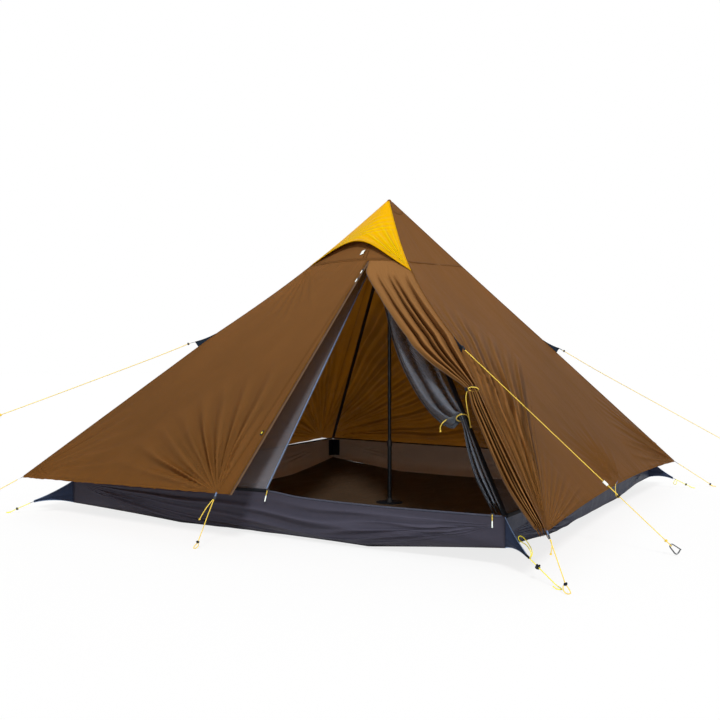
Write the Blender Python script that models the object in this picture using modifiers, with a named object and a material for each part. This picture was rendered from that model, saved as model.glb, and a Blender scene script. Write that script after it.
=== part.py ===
"""Pyramid tent: one pole, a square fly with a tied-back door, and a net inner tent on a tub floor.

Metres, +Z up. The origin is on the ground under the pole, and the door faces -Y.
"""
import bmesh
import bpy
from math import cos, pi, radians, sin, sqrt
from mathutils import Matrix, Vector

# Fly
apex_height = 1.80
fly_side = 2.88
hem_height = 0.20
cloth = 0.002
seam_gap = 0.0003
stitch_gap = 0.0007
panel_belly = 0.018
hood_bow = 0.028
hood_cloth = 0.0018
hood_lift = 0.0027
flap_width = 0.074
flap_top_width = 0.004
fin_reach = 0.122
fin_stand = 0.033
fin_overrun = 0.002
fin_thickness = 0.0024
cap_base_half = 0.0120
cap_top_half = 0.0065
cap_height = 0.0115
door_cloth = 0.0012
door_fold_depth = 0.034

# Inner tent
inner_drop = 0.18
net = 0.0015
tub_setback = 0.19
tub_cloth = 0.002
tub_wall_top = 0.20
tub_corner_lift = 0.075
tub_dip = 0.006
floor_bow = 0.125
wing_reach = 0.18
wing_tip_height = 0.075
wing_tip_half = 0.006
pocket_width = 0.090
pocket_height = 0.092
pocket_thickness = 0.004
pocket_edge = 0.0012
pocket_rise = 0.120
pocket_inset = 0.125
pocket_clearance = 0.0012
inner_fold_depth = 0.026

# Pole
bottom_tube_radius = 0.0125
bottom_tube_wall = 0.0013
bottom_tube_top = 0.345
upper_tube_radius = 0.0105
upper_tube_wall = 0.0012
upper_tube_foot = 0.270
lower_joint_height = 0.645
middle_joint_height = 0.992
sleeve_wall = 0.0019
sleeve_length = 0.024
lock_collar_radius = 0.0158
lock_collar_length = 0.034
lock_collar_overlap = 0.012
running_gap = 0.0003
foot_wall = 0.0028
foot_height = 0.026
foot_sole = 0.004
cup_wall = 0.004
cup_depth = 0.030
cup_drop = 0.043
cup_rim_drop = 0.015
cup_rim_thickness = 0.003
cup_rim_clearance = 0.0018

# Straps, locks and cords
cord_diameter = 0.004
tail_width = 0.006
fin_tail = 0.026
wing_tail = 0.020
lock_length = 0.026
lock_width = 0.015
lock_thickness = 0.006
lock_edge = 0.001
runner_radius = 0.006
runner_length = 0.024

# Zip sliders and pulls
slider_length = 0.014
slider_width = 0.009
slider_thickness = 0.005
slider_edge = 0.0008
pull_radius = 0.0020
pull_length = 0.030
toggle_length = 0.052
slider_spacing = 0.070

# Carabiner
link_length = 0.046
link_width = 0.031
link_rod = 0.0060
gate_rod = 0.0048
gate_gap = 0.0010

# Shares of fly_side, fly_side and hem_height: where the corners are pegged
CORNER_SHARES = {
    "front_left": (-0.530, -0.4725, 1.010),
    "front_right": (0.484, -0.465, 1.035),
    "back_right": (0.465, 0.523, 0.850),
    "back_left": (-0.521, 0.5285, 1.000),
}
DOOR_FOOT_SHARES = (-0.023, -0.505, 1.220)
# Shares of apex_height: droop above the fin, droop at the fin, sideways bend towards the door
SAG_SHARES = {
    "front_left": (0.019, 0.011, 0.0),
    "front_right": (0.030, 0.006, 0.020),
    "back_right": (0.002, 0.0, 0.0),
    "back_left": (0.016, 0.008, 0.0),
}
# Shares of tub_side, tub_side, tub_corner_lift and tub_wall_top
TUB_SHARES = {
    "front_left": (-0.528, -0.4755, 0.78, 0.905),
    "front_right": (0.4664, -0.464, 1.16, 1.050),
    "back_right": (0.4788, 0.5496, 0.96, 0.975),
    "back_left": (-0.522, 0.557, 0.80, 1.060),
}
# Shares of wing_reach and wing_tip_height
WING_SHARES = {"front_left": (1.217, 0.84), "front_right": (0.70, 1.13), "back_right": (0.872, 0.89),
               "back_left": (1.0, 1.0)}
# Place along the front sill, and its height as a share of tub_wall_top
SILL_SHARES = ((0.0, 0.905), (0.529, 1.105), (0.605, 1.03), (0.755, 1.005), (0.92, 1.03), (1.0, 1.05))
# Ridge shares, from the apex down
top_share = 0.009
seam_side_share = 0.2333
fin_span_share = 0.050
FIN_SHARES = {"front_left": 0.495, "front_right": 0.531, "back_right": 0.510, "back_left": 0.500}
seam_centre_share = 0.262
hood_arch_share = 0.27
hood_end_share = 0.271
hem_rise_share = 0.018
inner_top_share = 0.024
door_split_share = 0.64
inner_split_share = 0.529
upper_slider_share = 0.055
side_slider_share = 0.9945
toggle_lean_share = 0.38
sill_slider_share = 0.954
runner_share = 0.70
# Ridge share, and how far the free edge of the door half is drawn over to the ridge
DOOR_OPEN_SHARES = ((0.2333, 0.285), (0.275, 0.285), (0.299, 0.333), (0.320, 0.389), (0.361, 0.485),
                    (0.407, 0.558), (0.448, 0.614), (0.487, 0.655), (0.523, 0.690), (0.559, 0.726),
                    (0.610, 0.806), (0.646, 0.878), (0.684, 0.942), (0.735, 0.936), (0.7815, 0.936),
                    (0.866, 0.937), (0.929, 0.944), (1.0, 0.970))
# Row by row down the inner door: seam share, then the free edge's own share and how far it is drawn over,
# then the fold depth as a share of the largest one
INNER_ROW_SHARES = ((0.03, 0.03, 0.02, 0.0), (0.12, 0.13, 0.08, 0.0), (0.20, 0.21, 0.22, 0.1),
                    (0.28, 0.29, 0.385, 0.3), (0.35, 0.37, 0.50, 0.45), (0.44, 0.47, 0.578, 0.6),
                    (0.52, 0.56, 0.645, 0.75), (0.58, 0.625, 0.70, 0.9), (0.64, 0.69, 0.76, 1.0),
                    (0.68, 0.735, 0.82, 1.0), (0.712, 0.762, 0.898, 0.9), (0.737, 0.743, 0.962, 0.6),
                    (0.78, 0.785, 0.965, 0.6), (0.84, 0.845, 0.944, 0.8), (0.90, 0.905, 0.9375, 0.8),
                    (0.95, 0.950, 0.948, 0.8), (0.985, 0.985, 0.958, 0.8))
# Ridge share, and the fold depth as a share of the largest one
DOOR_DEPTH_SHARES = ((0.2333, 0.0), (0.285, 0.0), (0.32, 0.2), (0.40, 0.62), (0.55, 1.0), (0.75, 1.0),
                     (1.0, 0.8))
fold_limit_share = 0.40
lift_start_share = 0.45
LOCK_SEAT_SHARES = {"front_left": -0.35, "front_right": 0.65, "back_right": -0.35}
foot_seat_share = 0.23
# How far each fin's tail points down its ridge rather than away from it
FIN_TAIL_SHARES = {"front_left": 0.70, "front_right": 0.88, "back_right": 0.80, "back_left": 0.75}
miter_share = 1.08

# Cord routes, in metres, from the strap or lock outwards
GUY_FRONT_RIGHT_ROUTE = ((0.8406, -0.8061, 0.8774), (1.676, -0.5715, 0.0479))
GUY_FRONT_LEFT_ROUTE = ((-0.8624, -0.7689, 0.9347), (-1.000, -0.891, 0.858), (-1.220, -1.088, 0.742),
                        (-1.440, -1.285, 0.627), (-1.610, -1.437, 0.540), (-1.650, -1.473, 0.522),
                        (-1.676, -1.486, 0.516), (-1.690, -1.505, 0.500), (-1.676, -1.507, 0.494),
                        (-1.654, -1.486, 0.506))
GUY_BACK_RIGHT_ROUTE = ((0.7761, 0.8729, 0.9062), (0.950, 1.067, 0.773), (1.180, 1.326, 0.606),
                        (1.420, 1.596, 0.433), (1.600, 1.798, 0.303), (1.636, 1.839, 0.277),
                        (1.656, 1.856, 0.270), (1.672, 1.882, 0.250), (1.660, 1.880, 0.244),
                        (1.640, 1.856, 0.260))
PEG_FRONT_LEFT_ROUTE = ((-1.5430, -1.3759, 0.1894), (-1.600, -1.428, 0.1465), (-1.660, -1.482, 0.101),
                        (-1.720, -1.536, 0.056), (-1.765, -1.577, 0.022), (-1.783, -1.590, 0.008),
                        (-1.800, -1.598, 0.0025), (-1.806, -1.612, 0.0022), (-1.792, -1.612, 0.0025),
                        (-1.772, -1.592, 0.007))
PEG_DOOR_FOOT_ROUTE = ((-0.0762, -1.4588, 0.2158), (-0.098, -1.469, 0.154), (-0.118, -1.477, 0.096),
                       (-0.134, -1.484, 0.050), (-0.142, -1.488, 0.028), (-0.156, -1.490, 0.012),
                       (-0.160, -1.497, 0.0024), (-0.144, -1.500, 0.0024), (-0.134, -1.494, 0.012),
                       (-0.136, -1.4925, 0.024))
PEG_FRONT_RIGHT_ROUTE = ((1.4044, -1.3413, 0.1809), (1.424, -1.346, 0.132), (1.440, -1.3495, 0.092),
                         (1.455, -1.3525, 0.054), (1.464, -1.3545, 0.032), (1.478, -1.355, 0.014),
                         (1.484, -1.361, 0.0024), (1.470, -1.366, 0.0024), (1.458, -1.362, 0.012),
                         (1.457, -1.359, 0.027))
PEG_BACK_RIGHT_ROUTE = ((1.3570, 1.5188, 0.1562), (1.400, 1.549, 0.123), (1.450, 1.584, 0.084),
                        (1.500, 1.620, 0.045), (1.535, 1.645, 0.018), (1.551, 1.652, 0.006),
                        (1.566, 1.660, 0.0024), (1.564, 1.674, 0.0022), (1.548, 1.668, 0.0024),
                        (1.532, 1.652, 0.0095))
TUB_FRONT_LEFT_ROUTE = ((-1.5284, -1.3041, 0.0546), (-1.560, -1.3217, 0.0387), (-1.592, -1.3394, 0.0226),
                        (-1.610, -1.3480, 0.0133), (-1.622, -1.3520, 0.0065), (-1.638, -1.3570, 0.0024),
                        (-1.648, -1.3660, 0.0022), (-1.634, -1.3720, 0.0024), (-1.614, -1.3640, 0.0045))
TUB_FRONT_RIGHT_ROUTE = ((1.2909, -1.2337, 0.0762), (1.330, -1.2569, 0.0556), (1.370, -1.2805, 0.0345),
                         (1.398, -1.2968, 0.0199), (1.410, -1.3020, 0.0122), (1.430, -1.3090, 0.0040),
                         (1.440, -1.3200, 0.0022), (1.424, -1.3270, 0.0024), (1.406, -1.3190, 0.0090))
TUB_BACK_RIGHT_ROUTE = ((1.3507, 1.4591, 0.0573), (1.380, 1.4754, 0.0409), (1.408, 1.4909, 0.0249),
                        (1.426, 1.5000, 0.0150), (1.438, 1.5045, 0.0080), (1.454, 1.5110, 0.0024),
                        (1.460, 1.5210, 0.0022), (1.446, 1.5240, 0.0024), (1.428, 1.5165, 0.0070))
# Where the corner lines meet the ground
FLY_GROUNDS_ROUTE = {
    "front_left": (-1.790, -1.600, 0.002),
    "front_right": (1.477, -1.357, 0.002),
    "back_right": (1.557, 1.661, 0.002),
    "back_left": (-1.750, 1.790, 0.002),
}
DOOR_GROUND_ROUTE = (-0.151, -1.492, 0.002)
TUB_GROUNDS_ROUTE = {
    "front_left": (-1.633, -1.362, 0.002),
    "front_right": (1.432, -1.317, 0.002),
    "back_right": (1.448, 1.513, 0.002),
    "back_left": (-1.560, 1.640, 0.002),
}

# Counts
ridge_rows = 18
fin_row = 9
seam_row = 4
panel_columns = 10
front_columns = 12
hood_columns = 16
door_folds = 4
inner_folds = 4
fold_columns = 6
inner_rows = 8
inner_columns = 8
tub_rows = 5
tub_columns = 14
floor_steps = 4
round_sides = 24
small_sides = 12

half_share = 0.5
up = Vector((0, 0, 1))
east = Vector((1, 0, 0))
front_out = Vector((0, -0.73, 0.68)).normalized()
front_down = Vector((0, -0.68, -0.73)).normalized()
apex = up * apex_height
inner_apex = up * (apex_height - inner_drop)
tub_side = fly_side - 2 * tub_setback
cup_top_height = apex_height - cup_drop
cup_rim_height = cup_top_height - cup_rim_drop
CORNERS = ("front_left", "front_right", "back_right", "back_left")

BROWN = (0.17, 0.088, 0.035)
YELLOW = (1.0, 0.56, 0.0)
SLATE = (0.055, 0.055, 0.075)
NET_GREY = (0.12, 0.11, 0.11)
BLACK = (0.012, 0.013, 0.015)
CORD_YELLOW = (0.78, 0.56, 0.07)
WHITE = (0.82, 0.86, 0.80)
STEEL = (0.09, 0.09, 0.10)

for leftover in list(bpy.data.objects):
    bpy.data.objects.remove(leftover)
tent = bpy.data.collections.new("pyramid_tent")
bpy.context.scene.collection.children.link(tent)
cutters = bpy.data.collections.new("cutters")
bpy.context.scene.collection.children.link(cutters)


def paint(name, colour, roughness, metallic=0.0):
    """A plain Principled material."""
    material = bpy.data.materials.new(name)
    material.use_nodes = True
    shader = material.node_tree.nodes["Principled BSDF"]
    shader.inputs["Base Color"].default_value = (*colour, 1)
    shader.inputs["Roughness"].default_value = roughness
    shader.inputs["Metallic"].default_value = metallic
    return material


def add_object(name, mesh, colour, roughness=0.6, metallic=0.0):
    """Link a mesh under its name, with a material of its own."""
    mesh.materials.clear()
    mesh.materials.append(paint(name, colour, roughness, metallic))
    item = bpy.data.objects.new(name, mesh)
    tent.objects.link(item)
    return item


def smooth(table, place):
    """Read a table of (place, value) rows as one smooth curve."""
    if place <= table[0][0]:
        return table[0][1]
    if place >= table[-1][0]:
        return table[-1][1]
    row = 1
    while place > table[row][0]:
        row += 1
    start, end = table[row - 1], table[row]
    before = table[max(row - 2, 0)]
    after = table[min(row + 1, len(table) - 1)]
    span = end[0] - start[0]
    leave = (end[1] - before[1]) / (end[0] - before[0]) * span
    arrive = (after[1] - start[1]) / (after[0] - start[0]) * span
    return blend(start[1], end[1], leave, arrive, (place - start[0]) / span)


def blend(start, end, leave, arrive, u):
    """The smooth curve from start to end with these slopes at its two ends."""
    return (start * (2 * u ** 3 - 3 * u ** 2 + 1) + end * (3 * u ** 2 - 2 * u ** 3)
            + leave * (u ** 3 - 2 * u ** 2 + u) + arrive * (u ** 3 - u ** 2))


def bulge(across):
    """Zero at both edges and one in the middle."""
    return 4 * across * (1 - across)


def level(point):
    return Vector((point.x, point.y, 0))


def inward(point):
    """The level direction from a point to the pole."""
    return -level(point).normalized()


def scaled(shares, *sizes):
    return Vector([share * size for share, size in zip(shares, sizes)])


def corner_point(name):
    return scaled(CORNER_SHARES[name], fly_side, fly_side, hem_height)


door_foot = scaled(DOOR_FOOT_SHARES, fly_side, fly_side, hem_height)


def ridge_point(name, share):
    """A point on a ridge of the fly, with its droop and its pull at the fin."""
    foot = corner_point(name)
    droop, fin_droop, sideways = SAG_SHARES[name]
    fin_top = FIN_SHARES[name]
    hump = sin(pi * share / fin_top) if share < fin_top else 0
    pull = min(share / fin_top, (1 - share) / (1 - fin_top))
    out = -inward(foot)
    beside = Vector((out.y, -out.x, 0))
    bend = beside * sideways * hump - up * (droop * hump + fin_droop * pull)
    return apex.lerp(foot, share) + bend * apex_height


def ridge_share(name, row):
    """The share of a ridge at a row of cloth. One row ends at the seam, and one runs along the fin's foot."""
    fin_top = FIN_SHARES[name]
    if row <= seam_row:
        return top_share + (seam_side_share - top_share) * row / seam_row
    if row <= fin_row:
        return seam_side_share + (fin_top - seam_side_share) * (row - seam_row) / (fin_row - seam_row)
    if row <= fin_row + 1:
        return fin_top + fin_span_share * (row - fin_row)
    rest = (row - fin_row - 1) / (ridge_rows - fin_row - 1)
    return fin_top + fin_span_share + (1 - fin_top - fin_span_share) * rest


def centre_point(share):
    """A point on the front centre line, level with a ridge share."""
    extra = min(share / seam_side_share, (1 - share) / (1 - seam_side_share))
    place = share + (seam_centre_share - seam_side_share) * extra
    return apex.lerp(door_foot, place)


def three_point(left, middle, right, across):
    """A smooth bend through three points, at 0, half way and 1."""
    return (left * (1 - across) * (1 - 2 * across) + middle * bulge(across)
            + right * across * (2 * across - 1))


def inset(across, width, left_margin, right_margin):
    """A place between two edges that keeps a margin clear at each."""
    start = left_margin / width
    return start + across * (1 - start - right_margin / width)


def sheet(name, surface, columns, rows, thickness, colour, roughness=0.6, side=-1):
    """Cloth: surface(across, down), both 0 to 1 and seen from outside, thickened to one side."""
    mesh = bpy.data.meshes.new(name)
    grid = bmesh.new()
    bmesh.ops.create_grid(grid, x_segments=columns, y_segments=rows, size=half_share)
    for vertex in grid.verts:
        vertex.co = surface(vertex.co.x + half_share, half_share - vertex.co.y)
    grid.to_mesh(mesh)
    grid.free()
    item = add_object(name, mesh, colour, roughness)
    mesh.shade_smooth()
    thicken = item.modifiers.new("thickness", "SOLIDIFY")
    thicken.thickness = thickness
    thicken.offset = side
    thicken.use_even_offset = True
    return item


def along(place, direction, face):
    """A matrix whose Z runs along a direction and whose Y is as near as can be to a face's normal."""
    long = direction.normalized()
    wide = face.cross(long).normalized()
    turn = Matrix((wide, long.cross(wide), long)).transposed()
    return Matrix.Translation(place) @ turn.to_4x4()


def block(name, place, direction, face, size, colour, edge=0, roughness=0.6):
    """A box that starts at a place and runs along a direction. Its size is wide, thick, long."""
    mesh = bpy.data.meshes.new(name)
    shape = bmesh.new()
    bmesh.ops.create_cube(shape, size=1)
    for vertex in shape.verts:
        vertex.co = scaled((vertex.co.x, vertex.co.y, vertex.co.z + half_share), *size)
    if edge:
        bmesh.ops.bevel(shape, geom=shape.edges[:], offset=edge, segments=1, affect="EDGES",
                        profile=half_share)
    shape.to_mesh(mesh)
    shape.free()
    mesh.transform(along(place, direction, face))
    return add_object(name, mesh, colour, roughness)


def turned(name, profile, colour, matrix=None, sides=round_sides, roughness=0.45, metallic=0.0):
    """A closed outline of (radius, height) points, turned about Z, for a piece with a bore."""
    mesh = bpy.data.meshes.new(name)
    ring = bmesh.new()
    dots = [ring.verts.new((radius, 0, height)) for radius, height in profile]
    edges = [ring.edges.new((dot, dots[index - 1])) for index, dot in enumerate(dots)]
    bmesh.ops.spin(ring, geom=dots + edges, axis=(0, 0, 1), cent=(0, 0, 0), steps=sides, angle=2 * pi)
    bmesh.ops.remove_doubles(ring, verts=ring.verts[:], dist=seam_gap / round_sides)
    bmesh.ops.recalc_face_normals(ring, faces=ring.faces[:])
    ring.to_mesh(mesh)
    ring.free()
    if matrix is not None:
        mesh.transform(matrix)
    item = add_object(name, mesh, colour, roughness, metallic)
    mesh.shade_smooth()
    mesh.set_sharp_from_angle(angle=radians(30))
    return item


def rod(name, place, direction, radius, length, colour, roughness=0.5, tip_share=0.75):
    """A round bar with a narrowed tip."""
    mesh = bpy.data.meshes.new(name)
    shape = bmesh.new()
    bmesh.ops.create_cone(shape, cap_ends=True, segments=small_sides, radius1=radius,
                          radius2=radius * tip_share, depth=length)
    shape.to_mesh(mesh)
    shape.free()
    mesh.transform(along(place, direction, direction.orthogonal()) @ Matrix.Translation(up * length / 2))
    return add_object(name, mesh, colour, roughness)


def route_points(route, steps):
    """Evenly spaced points on the smooth curve through a route's own points."""
    knots = [Vector(point) for point in route]
    fine = 12
    dense = []
    for index in range(len(knots) - 1):
        start, end = knots[index], knots[index + 1]
        leave = (end - knots[max(index - 1, 0)]) / 2
        arrive = (knots[min(index + 2, len(knots) - 1)] - start) / 2
        dense += [blend(start, end, leave, arrive, part / fine) for part in range(fine)]
    dense.append(knots[-1])
    run = [0]
    for index in range(1, len(dense)):
        run.append(run[-1] + (dense[index] - dense[index - 1]).length)
    points = []
    row = 1
    for step in range(steps + 1):
        want = run[-1] * step / steps
        while row < len(dense) - 1 and run[row] < want:
            row += 1
        points.append(dense[row - 1].lerp(dense[row], (want - run[row - 1]) / (run[row] - run[row - 1])))
    return points


def cord(name, route, diameter, steps, colour=CORD_YELLOW, metallic=0.0):
    """A cord, loop or bent rod along a route, with closed ends."""
    curve = bpy.data.curves.new(name, "CURVE")
    curve.dimensions = "3D"
    curve.bevel_depth = diameter / 2
    curve.bevel_resolution = 2
    curve.use_fill_caps = True
    points = route_points(route, steps)
    line = curve.splines.new("POLY")
    line.points.add(len(points) - 1)
    for dot, point in zip(line.points, points):
        dot.co = (*point, 1)
    curve.materials.append(paint(name, colour, 0.6, metallic))
    item = bpy.data.objects.new(name, curve)
    tent.objects.link(item)
    return item


def outline(name, rings, thickness, matrix, colour, roughness=0.6):
    """A flat plate from its outline and the outlines of its holes."""
    curve = bpy.data.curves.new(name, "CURVE")
    curve.dimensions = "2D"
    curve.fill_mode = "BOTH"
    curve.extrude = thickness / 2
    for points in rings:
        line = curve.splines.new("POLY")
        line.points.add(len(points) - 1)
        for dot, point in zip(line.points, points):
            dot.co = (point[0], point[1], 0, 1)
        line.use_cyclic_u = True
    curve.materials.append(paint(name, colour, roughness))
    item = bpy.data.objects.new(name, curve)
    tent.objects.link(item)
    item.matrix_world = matrix
    return item


def circle(radius, sides):
    return [(radius * cos(2 * pi * step / sides), radius * sin(2 * pi * step / sides)) for step in range(sides)]


def upright(point, base=Vector()):
    """A matrix whose XY plane is the upright plane through a base point, along a direction."""
    out = level(point).normalized()
    return Matrix.Translation(base) @ Matrix((out, up, out.cross(up))).transposed().to_4x4()


# Fly panels
ridge_margin = cloth * miter_share


def side_panel(left, right):
    def surface(across, down):
        row, rise = down * ridge_rows, 1 - hem_rise_share * bulge(across) * down ** 2
        share = ridge_share(left, row) * rise
        start, end = ridge_point(left, share), ridge_point(right, ridge_share(right, row) * rise)
        place = inset(across, (end - start).length, ridge_margin, ridge_margin)
        point = start.lerp(end, place)
        return point + inward(point) * panel_belly * bulge(across) * sin(pi * share)
    return surface


def front_band(lift, bow, arch, right_share):
    """The front above the seam, from ridge to ridge, with its lower edge arched up and bowed out."""
    def surface(across, down):
        rise = 1 - arch * bulge(across) * down
        share = ridge_share("front_left", down * seam_row) * rise
        other = share * (1 + (right_share / seam_side_share - 1) * down)
        start, end = ridge_point("front_left", share), ridge_point("front_right", other)
        place = inset(across, (end - start).length, ridge_margin, ridge_margin)
        point = three_point(start, centre_point((share + other) / 2), end, place)
        return point + front_out * (lift + bow * bulge(across) * down)
    return surface


def seam_point(across):
    """The seam under the hood, from the left ridge to the right one."""
    return three_point(ridge_point("front_left", seam_side_share), centre_point(seam_side_share),
                       ridge_point("front_right", seam_side_share), across)


def door_edge_point(down):
    """The straight stitched edge of the closed half, from the seam to the door foot."""
    return seam_point(door_split_share).lerp(door_foot, down)


def zip_point(down):
    """The outer edge of the storm flap, where the zip runs."""
    return door_edge_point(down) + east * (flap_top_width + down * (flap_width - flap_top_width))


def closed_half(across, down):
    """The closed left half of the front face."""
    share = ridge_share("front_left", seam_row + down * (ridge_rows - seam_row))
    drop = (share - seam_side_share) / (1 - seam_side_share)
    start, end = ridge_point("front_left", share), door_edge_point(drop)
    place = inset(across, (end - start).length, ridge_margin, seam_gap)
    flat = seam_point(0).lerp(seam_point(door_split_share), place)
    point = start.lerp(end, place) + (seam_point(door_split_share * place) - flat) * (1 - drop) ** 3
    point += inward(point) * panel_belly * bulge(across) * sin(pi * drop)
    return point + front_down * stitch_gap * (1 - drop)


def storm_flap(across, down):
    start, end = door_edge_point(down), zip_point(down)
    return start.lerp(end, across) + east * seam_gap * (1 - across) + front_down * stitch_gap * (1 - down)


def folded(right, left, u, depth, folds, out):
    """A point on a drawn-over sheet. Its folds stay shallower than they are wide."""
    width = (left - right).length
    fold = (1 - cos(2 * pi * folds * u)) / 2
    return right.lerp(left, u) + out * min(depth, width * fold_limit_share / folds) * fold


def door_row(share, u):
    right = ridge_point("front_right", share)
    left = centre_point(share).lerp(right, smooth(DOOR_OPEN_SHARES, share))
    depth = door_fold_depth * smooth(DOOR_DEPTH_SHARES, share)
    return folded(right, left, u, depth, door_folds, front_out)


def gathered_door(across, down):
    """The right half of the front face, tied back to its ridge."""
    share = ridge_share("front_right", seam_row + down * (ridge_rows - seam_row))
    right = ridge_point("front_right", share)
    left = centre_point(share).lerp(right, smooth(DOOR_OPEN_SHARES, share))
    u = inset(1 - across, (left - right).length, ridge_margin, 0)
    start = door_split_share + (flap_top_width + slider_width) / (seam_point(1) - seam_point(0)).length
    hang = seam_point(1 - u * (1 - start)) - door_row(seam_side_share, u)
    return door_row(share, u) + hang * (1 - down) ** 3 + front_down * stitch_gap * (1 - down)


# Inner tent
def tub_corner(name):
    return scaled(TUB_SHARES[name], tub_side, tub_side)


def wall_top(first, second, place):
    """The top edge of a tub wall."""
    start, end = tub_corner(first).to_3d(), tub_corner(second).to_3d()
    point = start.lerp(end, place)
    if first == "front_left":
        return level(point) + up * smooth(SILL_SHARES, place) * tub_wall_top
    share = TUB_SHARES[first][3] * (1 - place) + TUB_SHARES[second][3] * place
    return level(point) + up * (share * tub_wall_top - tub_dip * bulge(place))


def inner_ridge(name, share):
    follow = CORNERS[(CORNERS.index(name) + 1) % len(CORNERS)]
    return inner_apex.lerp(wall_top(name, follow, 0), share)


def inner_centre(share):
    return inner_apex.lerp(wall_top("front_left", "front_right", inner_split_share), share)


def net_wall(first, second, start, end, margin_end):
    """A net wall of the inner tent above part of a tub wall."""
    def surface(across, down):
        share = inner_top_share + down * (1 - inner_top_share)
        left = inner_apex.lerp(wall_top(first, second, start), share)
        right = inner_apex.lerp(wall_top(first, second, end), share)
        place = inset(across, (right - left).length, net_margin, margin_end)
        point = left.lerp(right, place)
        point += inward(point) * panel_belly * bulge(across) * sin(pi * share)
        foot = wall_top(first, second, start + (end - start) * place)
        chord = wall_top(first, second, start).lerp(wall_top(first, second, end), place)
        return point + (foot - chord + up * net_margin) * down ** 4
    return surface


net_margin = net * miter_share


def inner_door(across, down):
    """The right half of the inner front, tied back to its corner seam."""
    seam_place, edge_place, drawn, deep = INNER_ROW_SHARES[round(down * (len(INNER_ROW_SHARES) - 1))]
    right = inner_ridge("front_right", seam_place)
    left = inner_centre(edge_place).lerp(inner_ridge("front_right", edge_place), drawn)
    u = inset(1 - across, (left - right).length, net_margin, 0)
    return folded(right, left, u, inner_fold_depth * deep, inner_folds, front_out)


def tub_ground(first, second, place):
    """The tub's lower edge: drawn in, on the ground in the middle and lifted at the corners."""
    start, end = tub_corner(first).to_3d(), tub_corner(second).to_3d()
    middle = level(start + end) / 2
    point = level(start.lerp(end, place)) + inward(middle) * floor_bow * bulge(place)
    lift = TUB_SHARES[first if place < half_share else second][2]
    return point + up * tub_corner_lift * lift * lift_at(place)


def tub_wall(first, second):
    def surface(across, down):
        length = (tub_corner(first) - tub_corner(second)).length
        margin = tub_cloth * miter_share + stitch_gap
        place = inset(across, length, margin, margin)
        low, high = tub_ground(first, second, place), wall_top(first, second, place)
        rise = 1 - down
        reach = 1 - (1 - rise) ** 8
        point = low.lerp(high, rise)
        return point + level(high - low) * (reach - rise) + up * seam_gap * down
    return surface


def lift_at(place):
    """How far up its corner's lift the tub's lower edge stands, along one side."""
    return max((abs(2 * place - 1) - lift_start_share) / (1 - lift_start_share), 0)


def floor_place(step):
    """A place along one side of the floor, with a row where each corner starts to lift."""
    turn = (1 - lift_start_share) / 2
    if step < floor_steps:
        return turn * step / floor_steps
    if step > 2 * floor_steps:
        return 1 - turn * (3 * floor_steps - step) / floor_steps
    return turn + (1 - 2 * turn) * (step - floor_steps) / floor_steps


def floor_surface(across, down):
    """The tub floor seen from above: flat on the ground, with lifted corners."""
    a = floor_place(round(across * 3 * floor_steps))
    b = 1 - floor_place(round(down * 3 * floor_steps))
    front, back = tub_ground("front_left", "front_right", a), tub_ground("back_right", "back_left", 1 - a)
    left, right = tub_ground("back_left", "front_left", 1 - b), tub_ground("front_right", "back_right", b)
    flat = [tub_corner(name).to_3d() for name in CORNERS]
    corners = (flat[0].lerp(flat[1], a)).lerp(flat[3].lerp(flat[2], a), b)
    point = front.lerp(back, b) + left.lerp(right, a) - corners
    near = ("back_" if b > half_share else "front_") + ("right" if a > half_share else "left")
    lift = tub_corner_lift * TUB_SHARES[near][2] * lift_at(a) * lift_at(b)
    drawn = Vector((1 - 2 * a, 1 - 2 * b, 0)) * (tub_cloth + stitch_gap)
    return level(point) + drawn + up * lift


def wing(name):
    """A triangular tie-out with a webbing tail, in the upright plane of its cord."""
    corner, ground = tub_corner(name).to_3d(), Vector(TUB_GROUNDS_ROUTE[name])
    out = level(ground - corner).normalized()
    start = -tub_cloth
    low = tub_corner_lift * TUB_SHARES[name][2] + tub_cloth
    high = TUB_SHARES[name][3] * tub_wall_top - tub_cloth
    tip = scaled(WING_SHARES[name], wing_reach, wing_tip_height)
    away = (Vector(((ground - corner).dot(out), ground.z)) - tip).normalized()
    side = Vector((-away.y, away.x)) * tail_width / 2
    lift = Vector((0, wing_tip_half))
    points = [(start, high), (start, low), tip - lift, tip - side, tip - side + away * wing_tail,
              tip + side + away * wing_tail, tip + side, tip + lift]
    outline("tub_wing_" + name, [points], tub_cloth, upright(out, corner), SLATE)


# Ridge fins
def fin_frame(name):
    """The top and foot of a fin on its ridge, in the upright plane of that ridge, and the way out."""
    share = FIN_SHARES[name]
    top, foot = ridge_point(name, share), ridge_point(name, share + fin_span_share)
    flat_top = Vector((level(top).length, top.z))
    run = (Vector((level(foot).length, foot.z)) - flat_top).normalized()
    return flat_top, run, Vector((-run.y, run.x))


def fin(name):
    """A stiff triangle on a ridge, with a webbing tail at its tip."""
    top, run, out = fin_frame(name)
    tip = top + run * fin_reach + out * fin_stand
    foot = top + run * (fin_reach + fin_overrun)
    away = (run * FIN_TAIL_SHARES[name] + out * (1 - FIN_TAIL_SHARES[name])).normalized()
    side = Vector((-away.y, away.x)) * tail_width / 2
    points = [top, tip + side, tip + away * fin_tail + side, tip + away * fin_tail - side, tip - side, foot]
    outline("ridge_fin_" + name, [points], fin_thickness, upright(corner_point(name)), BLACK)


def square_plate(corners, inset_by):
    """The outline of a level plate whose corners follow four seams."""
    near = min(min(abs(point.x), abs(point.y)) for point in corners)
    return [(point.x * (1 - inset_by / near), point.y * (1 - inset_by / near)) for point in corners]


def ridge_at(name, height):
    """The ridge point at a height near the apex."""
    low, high = 0, seam_side_share
    for _ in range(round_sides):
        middle = (low + high) / 2
        if ridge_point(name, middle).z > height:
            low = middle
        else:
            high = middle
    return ridge_point(name, low)


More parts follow.
